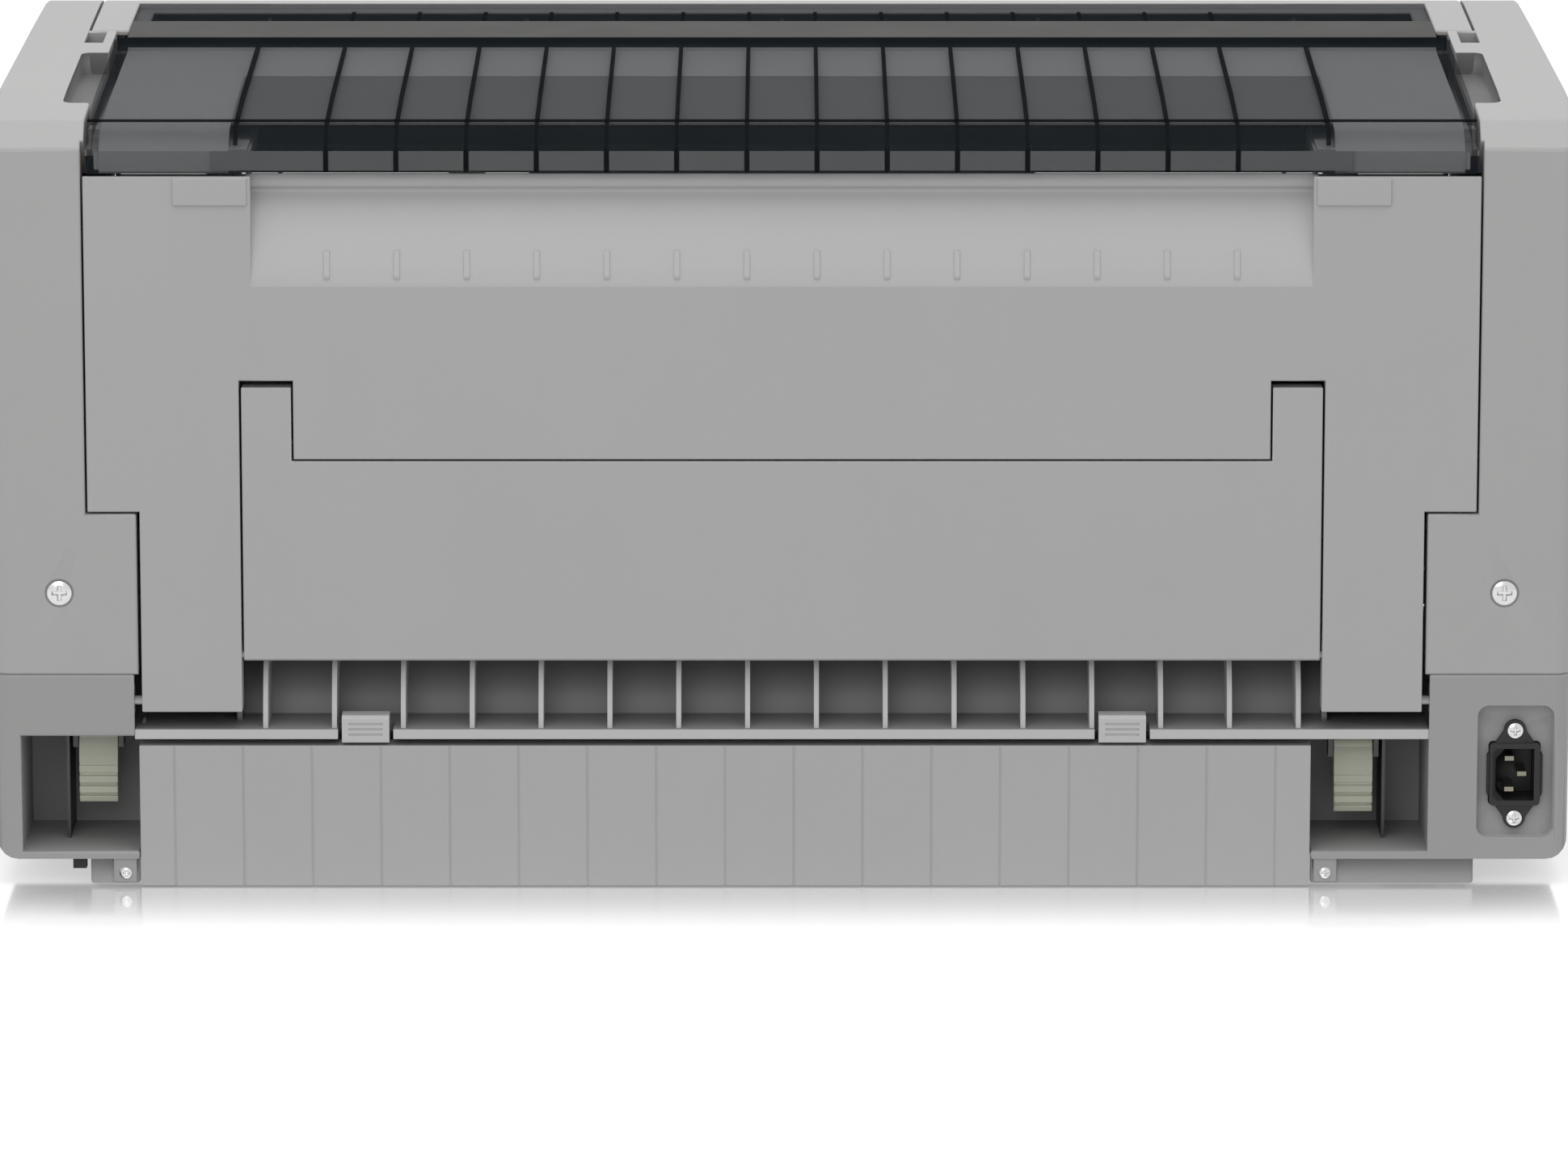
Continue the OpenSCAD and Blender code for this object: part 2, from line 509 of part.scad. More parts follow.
// Narrow strip that follows the edges of the face
module cover_return() for (i = [-1:1], k = [-1:1]) if (i != 0 || k != 0) difference() {
    cover_face();
    translate([i, k] * cover_t) cover_face();
}
module rear_cover() color("#a7a7a5") difference() {
    union() {
        along_y(yr - cover_t, yr) cover_face();
        intersection() {
            along_y(yr - cover_deep, yr - cover_t + e) cover_return();
            block([-half_w, half_w], [0, yr], [leg_z, cover_top - 12]);
        }
        // raised pads beside the scoop
        both() block([throat_x + 1, throat_x + 33.5], [yr - 1, yr + 1], [lip_z - 14, cover_top - 0.6]);
        // scoop shell
        along_x(-scoop_w / 2 - 2, scoop_w / 2 + 2) polygon(band(scoop_line, -2.2));
        both() along_x(scoop_w / 2, scoop_w / 2 + 2.4) polygon(concat([[yr - 0.1, cover_top],
            [yr - scoop_d - 2, cover_top]], [[yr - scoop_d - 2, cover_top - 12]], [for (p = scoop_line) p - [1.5, 0]],
            [[yr - 0.1, cover_top - scoop_h]]));
        // rounded bar at the head of the scoop
        rod_x(-scoop_w / 2 - 1, scoop_w / 2 + 1, bar_c, bar_r);
        along_x(-scoop_w / 2 - 1, scoop_w / 2 + 1) polygon([[yr - scoop_d - 2.2, cover_top - 4],
            [yr - scoop_d, cover_top - 4], [yr - scoop_d, cover_top - 10], [yr - scoop_d - 2.2, cover_top - 10]]);
        // stiffening ribs behind the face
        for (x = ribs_at(exit_ribs, rib_pitch)) block([x - 0.9, x + 0.9], [yr - 11, yr - cover_t + e],
            [ear_top + ear_gap + 2, cover_top - scoop_h - 6]);
        // hinge pins
        both() rod_x(leg_x[1] - 8, leg_gap_x + 5, leg_pin, pin_r);
        both() block([leg_x[0] + 2, leg_x[1]], [yr - 6, yr - cover_t + e], [leg_z, leg_z + 12]);
    }
    // the face is open over the scoop, save for its faint ribs and the bar
    difference() {
        along_x(-scoop_w / 2, scoop_w / 2) polygon(concat(scoop_line, [scoop_foot, [yr + 2, scoop_foot[1]],
            [yr + 2, cover_top + 1], [yr - scoop_d + 1, cover_top + 1]]));
        for (x = ribs_at(exit_ribs, rib_pitch + 0.2)) along_x(x - scoop_rib[0] / 2, x + scoop_rib[0] / 2)
            polygon(band(concat([for (k = [0:7]) scoop_line[k] - [1, 0]], [[yr - 1, scoop_line[7][1] - 2]]), 1 + scoop_rib[1]));
        rod_x(-scoop_w / 2 - 1, scoop_w / 2 + 1, bar_c, bar_r);
    }
    both() rod_x(leg_x[0] - 2, leg_x[0] + 5, flap_axis, 1.5 + pin_clear);
    both() block([leg_x[1], leg_x[1] + 9], [yr - 20, leg_pin[0] - pin_r - 3], [leg_z - 1, leg_z + 20]);
}

// ---- rear flap between the legs ----
module flap_face() {
    translate([-flap_x, flap_z + 1]) square([2 * flap_x, flap_top - flap_z - 1]);
    for (k = [-1, 1]) translate([k > 0 ? flap_x - ear_w : -flap_x, flap_z + 1])
        square([ear_w, ear_top - flap_z - 1]);
}
module rear_flap() color("#a1a19f") {
    along_y(yr - cover_t, yr) flap_face();
    both() block([flap_x - 2.4, flap_x], [yr - 11, yr - 1], [flap_z + 6, ear_top]);
    both() block([flap_x - ear_w, flap_x], [yr - 11, yr - 1], [ear_top - 2.4, ear_top]);
    block([-flap_x, flap_x], [yr - 9, yr - 1], [flap_top - 2.4, flap_top]);
    for (x = ribs_at(slot_ribs - 2, rib_pitch)) block([x - 0.9, x + 0.9], [yr - 10, yr - 1],
        [flap_z + 6, flap_top - 1]);
    rod_x(-flap_x, flap_x, flap_axis, 2.6);
    both() rod_x(flap_x - 4, leg_x[0] + 4.4, flap_axis, 1.5);
}

// ---- smoked exit cover ----
exit_t = 2.2;
exit_rib = [1.8, 3];
exit_line = concat([[yr, lip_z]], crown_run(yr, cover_axis[0]));
module exit_cover() color("#54595c", 0.75) difference() {
    union() {
        along_x(-exit_x, exit_x) polygon(band(exit_line, exit_t));
        both() along_x(exit_x - 2.2, exit_x) polygon(band(crown_run(yr - 1, cover_axis[0] + 1), 9));
        for (x = ribs_at(exit_ribs, rib_pitch + 0.2)) along_x(x - exit_rib[0] / 2, x + exit_rib[0] / 2)
            polygon(band(concat([[yr - 1, lip_z + 0.4]], crown_run(yr - 1, cover_axis[0] + 6)), exit_rib[1] + 1));
        both() along_x(239, 241) polygon(band(crown_run(yr - 3, cover_axis[0] + 6), exit_rib[1] + 1));
        rod_x(-exit_x, exit_x, cover_axis, 2.8);
        both() rod_x(exit_x - 4, inner_x + 3.4, cover_axis, pin_r);
    }
    // the crease line across the fold
    translate([-exit_x - 1, crease[0] + 0.2, crease[1] + 0.35]) rotate([-23, 0, 0])
        translate([0, -0.5, -0.5]) cube([2 * exit_x + 2, 1, 1]);
}

// ---- frame under the smoked covers ----
frame_top = skin(yr - 12) - 14;
throat_x = scoop_w / 2 + 0.5;          // half width of the throat under the smoked cover
throat_y = yr - 78;
module upper_frame() color("#a9aaa8") difference() {
    union() {
        block([-inner_x, inner_x], [bar_y[1] + 4, yr - 5.6], [frame_top - 2.4, frame_top]);
        block([-exit_x + 3, exit_x - 3], [yr - 8, yr - 5.6], [lip_z + 1, frame_top]);
        // pads that the closed cover's skirts rest on
        both() block([exit_x - 5, inner_x], [yr - 43, yr - 33], [frame_top - 1, skin(yr - 39) - 9.6]);
        both() block([throat_x, throat_x + 2.4], [throat_y, yr - 5.6], [lip_z + 1, frame_top]);
        block([-throat_x - 2.4, throat_x + 2.4], [throat_y - 2.4, throat_y], [frame_top - 8, frame_top]);
        both() block([throat_x + 1, throat_x + 33.5], [yr - 76, yr - 5.6], [frame_top - 1, frame_top + 2]);
        // posts down to the chassis side plates
        both() for (y = [plate_y[1] - 92, plate_y[1] - 24]) block([plate_x - 6, plate_x + 6], [y, y + 14], [roof_z, frame_top - 1]);
        for (y = [98, 66, 34]) block([-plate_x - 8, plate_x + 8], [plate_y[1] - y, plate_y[1] - y + 2], [frame_top - 6, frame_top - 1]);
    }
    block([-throat_x, throat_x], [throat_y, yr], [frame_top - 20, crown_h]);
    both() block([exit_x - 3, inner_x + 1], [yr - 11, yr], [lip_z, crown_h]);
}
guide_run = [[yr - 21, cover_top - 10], [yr - 77, cover_top - 13], [platen_y + 26, platen_z + 47]];
function guide_z(y) = lookup(y, rev(guide_run));
module exit_guide() color("#3a3d40") union() {
    along_x(-throat_x, throat_x) polygon(band(soften(guide_run, [60]), 2));
    for (x = ribs_at(15, rib_pitch)) along_x(x - 1, x + 1)
        polygon(band(soften([for (p = guide_run) p + [-1, 1.2]], [60]), 6));
    for (y = [plate_y[1] - 28, plate_y[1] - 92]) both() block([throat_x - 5, plate_x - plate_t / 2], [y, y + 12], [guide_z(y + 6) - 3.6, guide_z(y + 6) - 0.6]);
}

// ---- hinge bar between the exit cover and the hood ----
module hinge_bar() color("#77776f") difference() {
    union() {
        along_x(-hood_x + 17.5 + 0.4, hood_x - 17.5 - 0.4) polygon(band(crown_run(bar_y[1], bar_y[0]), 2.4));
        for (y = [bar_y[0], bar_y[1] - 9]) block([-hood_x + 18, hood_x - 18], [y, y + 2.4], [frame_top - 2.4, skin(y) - 1]);
        block([-hood_x + 18, hood_x - 18], [bar_y[0], bar_y[1] - 6.6], [frame_top - 2.4, frame_top]);
        both() block([hood_x - 19, inner_x], [bar_y[1] - 14, bar_y[1] - 6], [frame_top - 2.4, skin(0) - 8]);
    }
    rod_x(-half_w, half_w, cover_axis, 3.9);
}

// ---- front hood and its window ----
hood_t = 2.8;
window_x = hood_x - 17.5;
hood_path = crown_nose(hood_y - 1);
module front_hood() color("#b4b5b2") difference() {
    union() {
        difference() {
            along_x(-hood_x, hood_x) polygon(band(hood_path, hood_t));
            block([-window_x, window_x], [window_y, 0], [roof_z, crown_h + 9]);
        }
        both() along_x(hood_x - 2.4, hood_x) polygon(band(crown_nose(hood_y - 2), 12));
        // ledge that carries the window
        both() along_x(window_x - 7, window_x + 1) polygon(band(
            [for (p = crown_run(bar_y[0] - 1, window_y)) p - [0, 2.6]], 2));
        along_x(-window_x, window_x) polygon(band(
            [for (p = crown_run(window_y + 7, window_y - 2)) p - [0, 2.6]], 2));
        both() rod_x(window_x + 2, hood_x, hood_axis, 3.4);
        both() rod_x(hood_x - 4, hood_edge_x + 3.2, hood_axis, pin_r);
        // stiffening ribs under the nose
        for (x = ribs_at(5, 120)) along_x(x - 1, x + 1) polygon(band(nose_line, 9));
        // finger lip along the lower edge
        along_x(-120, 120) polygon(band([nose_line[len(nose_line) - 2], nose[2]], 12));
    }
    both() block([window_x - e, hood_x - 2.4], [hood_y - 6, hood_y + 2], [crown_h - 60, skin(hood_y) - 8]);
}
module hood_window() color("#4f5457", 0.75) {
    along_x(-window_x, window_x) polygon(band(crown_run(bar_y[0] - 0.6, window_y + 0.3), 2.5));
    for (x = ribs_at(exit_ribs, rib_pitch + 0.2)) along_x(x - 0.9, x + 0.9)
        polygon(band([for (p = crown_run(bar_y[0] - 0.6, window_y + 9)) p - [0, 2]], 3));
}

// ---- front panel, cover and control panel ----
fascia_x = hood_edge_x - seam;
fascia_top = hood_z - 1.4;
front_axis = [yf + 2.6, base_h + 27];
panel_face_x = [fascia_x - 8 - panel_w, fascia_x - 8];
panel_z = [fascia_top - 96.6, fascia_top - 32.6];
fc_x = [-fascia_x + 14, panel_face_x[0] - 12];
fc_z = [front_axis[1] - 3.4, fascia_top - front_cover_drop];
pull_x = [fc_x[1] - 232.5, fc_x[1] - 118.5];       // finger pull of the front cover
function front_y(z) = z < fold_z ? yf : yf + 6 * (z - fold_z) / (hood_z - fold_z);
fascia_line = [[front_y(fascia_top), fascia_top], [yf, fold_z], [yf, base_h]];
module front_panel() color("#a9aaa8") difference() {
    union() {
        along_x(-fascia_x, fascia_x) polygon(band(fascia_line, wall));
        // inner frame round the cover opening
        block([fc_x[0] - 3, fc_x[1] + 3], [yf + 1, yf + 16], [fc_z[0] - 4, fc_z[0] - 1]);
        block([fc_x[0] - 3, fc_x[1] + 3], [yf + wall, yf + 16], [fc_z[1] + 1, fc_z[1] + 4]);
        for (x = [fc_x[0] - 4, fc_x[1] + 1]) block([x, x + 3], [yf + 1, yf + 16], [fc_z[0] - 4, fc_z[1] + 4]);
        block([-fascia_x, fascia_x], [yf + 1, yf + 10], [base_h, base_h + wall]);
        both() block([fascia_x - wall, fascia_x], [yf + wall - 1, yf + 20], [base_h, hood_z - 4]);
        // stops behind the cover's upper edge
        for (x = [fc_x[0] + 20, fc_x[1] - 44]) block([x, x + 24], [yf + fc_deep + 0.3, yf + 16], [fc_z[1] - 6, fc_z[1] + 4]);
    }
    block([fc_x[0] - seam, fc_x[1] + seam], [yf - 1, yf + 8], [fc_z[0] - seam, fc_z[1] + seam]);
    along_y(yf - 1, yf + 9) panel_outline(0);
    for (k = [0, 1]) rod_x(fc_x[k] - 6, fc_x[k] + 6, front_axis, 1.8 + pin_clear);
}
fc_inset = 1.6;
fc_t = 2.6;
fc_deep = 13;
module front_cover() color("#b0b1ae") difference() {
    union() {
        translate([0, fc_inset, 0]) along_x(fc_x[0], fc_x[1])
            polygon(band([[front_y(fc_z[1]), fc_z[1]], [yf, fold_z], [yf, fc_z[0] + 3.4]], fc_t));
        for (x = [fc_x[0], fc_x[1] - 2.4]) block([x, x + 2.4], [yf + 3, yf + fc_deep], [fc_z[0] + 4, fc_z[1]]);
        for (z = [fc_z[0] + 30, fc_z[0] + 60, fc_z[1] - 3]) block([fc_x[0], fc_x[1]], [yf + 3, yf + fc_deep], [z, z + 2.4]);
        rod_x(fc_x[0], fc_x[1], front_axis, 2.6);
        for (k = [-1, 1]) rod_x(fc_x[k < 0 ? 0 : 1] - 4, fc_x[k < 0 ? 0 : 1] + 4, front_axis, 1.8);
        block([pull_x[0] - 3, pull_x[1] + 3], [yf + 3, yf + 12], [fc_z[1] - 26, fc_z[1] - 2]);
    }
    block(pull_x, [yf - 1, yf + 10], [fc_z[1] - 23, fc_z[1] - 6]);
}
panel_in = 0.6;                        // the panel's face sits this far behind the front
panel_t = 2.4;
panel_deep = 14;
key_z = panel_z[0] + 16;
key_h = 9;
key_x = [for (k = [0:3]) panel_face_x[0] + 20 + k * 24];
key_gap = 0.3;
screen_x = [panel_face_x[0] + 16, panel_face_x[0] + 94];
screen_z = [panel_z[1] - 33, panel_z[1] - 9];
module panel_outline(g) rrect([panel_face_x[0] + g, panel_z[0] + g], [panel_face_x[1] - g, panel_z[1] - g], 4);
module control_panel() color("#5d6062") difference() {
    union() {
        along_y(yf + panel_in, yf + panel_in + panel_t) panel_outline(0);
        along_y(yf + wall, yf + panel_deep) panel_outline(-3);
    }
    along_y(yf + panel_in + panel_t, yf + panel_deep - 2) panel_outline(2);
    for (x = key_x) block([x - key_w / 2 - key_gap, x + key_w / 2 + key_gap], [yf - 5, yf + 5],
        [key_z - key_h / 2 - key_gap, key_z + key_h / 2 + key_gap]);
    block(screen_x, [yf - 5, yf + 5], screen_z);
    for (k = [0:2]) rod_y(yf - 2, yf + 4, panel_face_x[1] - 12, panel_z[1] - 13 - k * 8, 1.6);
}
module display_window() color("#2f3b33") {
    block(screen_x, [yf + panel_in + 0.4, yf + panel_in + panel_t + 0.2], screen_z);
    block([screen_x[0] - 3, screen_x[1] + 3], [yf + panel_in + panel_t, yf + panel_in + panel_t + 3],
        [screen_z[0] - 3, screen_z[1] + 3]);
}
module key(x) color("#c9cac6") {
    back = yf + panel_in + panel_t;
    block([x - key_w / 2, x + key_w / 2], [yf + panel_in - key_travel, back + 1], [key_z - key_h / 2, key_z + key_h / 2]);
    block([x - key_w / 2 - 1.6, x + key_w / 2 + 1.6], [back + 0.1, back + 1.5], [key_z - key_h / 2 - 1.6, key_z + key_h / 2 + 1.6]);
    rod_y(back + 1, yf + panel_deep - 2.1 - key_travel, x, key_z, 2);
}
module load_key() key(key_x[0]);
module feed_key() key(key_x[1]);
module pause_key() key(key_x[2]);
module menu_key() key(key_x[3]);

// ---- power switch in the base's front ----
switch_x = -half_w + 50;
switch_z = 58;
switch_axis = [yf + 6.6, switch_z];
switch_w = 24;
module power_switch() color("#1d1f21") {
    translate([0, yf + 1.6, switch_z]) along_x(switch_x - switch_w / 2, switch_x + switch_w / 2)
        polygon([[-2.2, -8.6], [6, -8.6], [8, -4], [8, 4], [6, 8.6], [0.6, 8.6], [-0.2, 0]]);
    rod_x(switch_x - switch_w / 2 - 3, switch_x + switch_w / 2 + 3, switch_axis, 1.6);
}

// ---- chassis ----
plate_x = 252;                         // middle of each side plate
plate_t = 3;
plate_y = [yf + 17, platen_y + 152];
plate_low_y = yr - recess_d - 20;      // rear end of the plates below the seam
pan_z = pod_z + wall;
pan_t = 2;
gear_angle = -26;
mesh_d = gear_m * 40;
idler_c = [platen_y, platen_z] + mesh_d * [cos(gear_angle), sin(gear_angle)];
shaft_c = [platen_y, platen_z] + 2 * mesh_d * [cos(gear_angle), sin(gear_angle)];
rail_c = shaft_c + [40, 0];
rod_c = [platen_y - 54, platen_z - 17];
pinion_angle = gear_angle - 9 * 8;
pinion_c = [platen_y, platen_z] + gear_m * 26 * [cos(pinion_angle), sin(pinion_angle)];

module plate_outline() difference() {
    polygon([[plate_y[0], pan_z + pan_t], [plate_low_y, pan_z + pan_t], [plate_low_y, base_h + 6],
        [plate_y[1], base_h + 16], [plate_y[1], roof_z], [platen_y + 10, roof_z], [platen_y - 18, platen_z + 47],
        [platen_y - 70, platen_z + 35], [plate_y[0] + 8, platen_z + 35], [plate_y[0], platen_z + 27]]);
    translate([platen_y, platen_z]) circle(6 + pin_clear);
    translate(shaft_c) circle(6 + pin_clear);
    translate(rail_c) circle(rail_r);
    translate(rod_c) circle(rod_r);
    for (p = [[plate_y[0] + 32, 60], [-60, 60], [20, 60], [plate_low_y - 29, 60]]) translate(p) rrect([-18, -16], [18, 16], 5);
    translate([platen_y + 60, platen_z + 35]) rrect([-22, -16], [22, 16], 5);
}
module side_plate() {
    difference() {
        along_x(plate_x - plate_t / 2, plate_x + plate_t / 2) plate_outline();
        rod_x(plate_x - 9, plate_x + 9, pinion_c, 9.4);
    }
    block([plate_x - plate_t / 2, plate_x + 14], [-120, 60], [pan_z + pan_t, pan_z + pan_t + 2]);
}
module side_plates() color("#b9bcbe") both() side_plate();
module chassis_pan() color("#b2b5b7") difference() {
    union() {
        block([-plate_x - 16, plate_x + 16], [plate_y[0], plate_low_y], [pan_z, pan_z + pan_t]);
        for (y = [plate_y[0], plate_low_y - 2]) block([-plate_x + 3, plate_x - 3], [y, y + 2], [pan_z, pan_z + 14]);
    }
    for (x = [-150, 0, 150], y = [-120, 80]) rod_z(0, 40, x, y, 6);
}
beam_y = [plate_y[0], rod_c[0] - 44];
beam_top = platen_z + 17;
module front_beam() difference() {
    block([-plate_x + plate_t / 2, plate_x - plate_t / 2], beam_y, [beam_top - 18, beam_top]);
    block([-plate_x, plate_x], [beam_y[0] + 2.4, beam_y[1] - 2.4], [beam_top - 20, beam_top - 2.4]);
    for (x = [-180, -60, 60, 180]) translate([x, (beam_y[0] + beam_y[1]) / 2, 0])
        block([-16, 16], (beam_y[1] - beam_y[0]) * [-0.27, 0.27], [beam_top - 4, beam_top + 2]);
}
belt_y = rod_c[0] - 16;
beam_z = platen_z - 43;
module belt_beam() difference() {
    union() {
        block([-plate_x + plate_t / 2, plate_x - plate_t / 2], [belt_y - 24, belt_y + 24], [beam_z - 2, beam_z]);
        for (y = [belt_y - 24, belt_y + 22]) block([-plate_x + plate_t / 2, plate_x - plate_t / 2], [y, y + 2], [beam_z - 14, beam_z]);
        rod_z(beam_z - 1, beam_z + 12, -pulley_x, belt_y, 3);
    }
    rod_z(beam_z - 9, beam_z + 9, pulley_x, belt_y, 4);
    for (x = [-120, 0, 120]) block([x - 30, x + 30], [belt_y - 12, belt_y + 12], [beam_z - 5, beam_z + 5]);
}
module cross_beams() color("#b2b5b7") {
    front_beam();
    belt_beam();
}
module carriage_rod() color("#d5d8da") union() {
    rod_x(-plate_x - 5, plate_x + 5, rod_c, rod_r);
    both() rod_x(plate_x + plate_t / 2, plate_x + plate_t / 2 + 2, rod_c, rod_r + 2.6);
}
module tractor_rail() color("#d5d8da") union() {
    rod_x(-plate_x - 5, plate_x + 5, rail_c, rail_r);
    both() rod_x(plate_x + plate_t / 2, plate_x + plate_t / 2 + 2, rail_c, rail_r + 2.6);
}

// ---- carriage, head, belt and pulleys ----
head_y = platen_y - platen_r - 2.2;
module carriage() color("#303336") difference() {
    union() {
        block([-carriage_w / 2, carriage_w / 2], [rod_c[0] - 36, rod_c[0] + 14], [rod_c[1] - 10.5, rod_c[1] - 6]);
        rod_x(-carriage_w / 2, carriage_w / 2, rod_c, rod_r + 4);
        block([-carriage_w / 2, carriage_w / 2], [rod_c[0] - 12, rod_c[0] + 12], [rod_c[1] - 10.5, rod_c[1]]);
        both() block([carriage_w / 2 - 3, carriage_w / 2], [rod_c[0] - 36, rod_c[0] + 14], [rod_c[1] - 10, rod_c[1] + 15]);
        // clamp on the rear run of the belt
        block([-9, 9], [belt_y + pulley_r - 3.4, belt_y + pulley_r + 4.6], [beam_z + 3, rod_c[1] - 9]);
        block([-carriage_w / 2, carriage_w / 2], [rod_c[0] - 36, rod_c[0] - 32], [rod_c[1] - 10, rod_c[1] + 15]);
    }
    rod_x(-carriage_w, carriage_w, rod_c, rod_r + pin_clear);
    block([-12, 12], [belt_y + pulley_r - 0.1, belt_y + pulley_r + 1.7], [beam_z + 2.9, beam_z + 10]);
}
module print_head() color("#8b8e90") {
    difference() {
        union() {
            block([-22.9, 22.9], [rod_c[0] - 31, rod_c[0] + 12], [rod_c[1] + 12.1, rod_c[1] + 33]);
            block([-17, 17], [rod_c[0] + 11, rod_c[0] + 19], [rod_c[1] + 12.1, rod_c[1] + 28]);
        }
        for (k = [0:6]) block([-24, 24], [rod_c[0] - 29 + k * 5.6, rod_c[0] - 25.6 + k * 5.6], [rod_c[1] + 18, rod_c[1] + 36]);
    }
    along_x(-8, 8) polygon([[rod_c[0] + 18, rod_c[1] + 12.2], [rod_c[0] + 18, rod_c[1] + 26],
        [head_y, platen_z + 4], [head_y, platen_z - 3]]);
}
module belt_loop(r) { translate([-pulley_x, 0]) circle(r); translate([pulley_x, 0]) circle(r);
    translate([-pulley_x, -r]) square([2 * pulley_x, 2 * r]); }
module carriage_belt() color("#1c1d1f") translate([0, belt_y, beam_z + 3.2]) linear_extrude(6) difference() {
    belt_loop(pulley_r + 1.4);
    belt_loop(pulley_r + 0.3);
}
module pulley(x) {
    difference() {
        union() {
            rod_z(beam_z + 0.6, beam_z + 2.6, x, belt_y, pulley_r + 2.4);
            rod_z(beam_z + 2.5, beam_z + 9.8, x, belt_y, pulley_r);
            rod_z(beam_z + 9.7, beam_z + 11.4, x, belt_y, pulley_r + 2.4);
        }
        for (k = [0:15]) translate([x, belt_y, beam_z + 2.6]) rotate(k * 22.5)
            translate([pulley_r - 0.8, -0.7, 0]) cube([2, 1.4, 7.1]);
        children();
    }
}
module drive_pulley() color("#d2c9a8") {
    pulley(pulley_x);
    rod_z(beam_z - 24, beam_z + 3, pulley_x, belt_y, 2.5);
}
module idler_pulley() color("#d2c9a8") pulley(-pulley_x) rod_z(beam_z - 3, beam_z + 15, -pulley_x, belt_y, 3 + pin_clear);
module carriage_motor() color("#3b3e41") difference() {
    union() {
        rod_z(beam_z - 46, beam_z - 2, pulley_x, belt_y, 19);
        translate([pulley_x - 20, belt_y - 20, beam_z - 5]) cube([40, 40, 3]);
    }
    rod_z(beam_z - 26, beam_z, pulley_x, belt_y, 2.5 + pin_clear);
}

// ---- platen, gears and feed motor ----
gear_x = [-plate_x - 12, -plate_x - 6];
module platen() color("#26282a") difference() {
    union() {
        rod_x(-platen_l / 2, platen_l / 2, [platen_y, platen_z], platen_r);
        rod_x(gear_x[0] - 2, plate_x + 6, [platen_y, platen_z], 6);
        translate([gear_x[0], platen_y, platen_z]) rotate([90, 0, 90]) linear_extrude(6) gear_shape(40, gear_angle);
        rod_x(platen_l / 2 - e, platen_l / 2 + 8, [platen_y, platen_z], 10);
        rod_x(-platen_l / 2 - 8, -platen_l / 2 + e, [platen_y, platen_z], 10);
    }
    for (k = [0:4]) let (t = k * 72) rod_x(gear_x[0] - 1, gear_x[1] + 1,
        [platen_y + 15 * cos(t), platen_z + 15 * sin(t)], 4);
}
module idler_gear() color("#d8d4c4") difference() {
    union() {
        translate([gear_x[0], idler_c[0], idler_c[1]]) rotate([90, 0, 90]) linear_extrude(6)
            gear_shape(40, gear_angle + 180 + 4.5);
        rod_x(gear_x[1] - 1, -plate_x - plate_t / 2 - 0.3, idler_c, 7);
    }
    rod_x(gear_x[0] - 5, gear_x[1] + 9, idler_c, 4 + pin_clear);
    for (k = [0:4]) let (t = k * 72) rod_x(gear_x[0] - 1, gear_x[1] + 0.5 - 2,
        [idler_c[0] + 15 * cos(t), idler_c[1] + 15 * sin(t)], 4);
}
module tractor_shaft() color("#caccce") {
    rod_x(-plate_x - plate_t, -plate_x + plate_t, shaft_c, 6);
    rod_x(plate_x - plate_t, plate_x + plate_t + 2, shaft_c, 6);
    block([gear_x[0], plate_x], [shaft_c[0] - 4, shaft_c[0] + 4], [shaft_c[1] - 4, shaft_c[1] + 4]);
    difference() {
        translate([gear_x[0], shaft_c[0], shaft_c[1]]) rotate([90, 0, 90]) linear_extrude(6)
            gear_shape(40, gear_angle + 180);
        for (k = [0:4]) let (t = k * 72) rod_x(gear_x[0] - 1, gear_x[1] + 1,
            [shaft_c[0] + 15 * cos(t), shaft_c[1] + 15 * sin(t)], 4);
    }
}
module feed_pinion() color("#d8d4c4") {
    translate([gear_x[0], pinion_c[0], pinion_c[1]]) rotate([90, 0, 90]) linear_extrude(6)
        gear_shape(12, pinion_angle + 180 + 15);
    rod_x(gear_x[0] + 1, -plate_x + plate_t / 2 + 16, pinion_c, 2.5);
}
module feed_motor() color("#3b3e41") {
    difference() {
        rod_x(-plate_x + plate_t / 2, -plate_x + plate_t / 2 + 26, pinion_c, 17);
        rod_x(-plate_x - 1, -plate_x + 20, pinion_c, 2.5 + pin_clear);
    }
    // spindle of the idler gear, riveted through the plate
    rod_x(gear_x[0] - 3, -plate_x - plate_t / 2, idler_c, 4);
    rod_x(gear_x[0] - 4.6, gear_x[0] - 1, idler_c, 5.6);
}

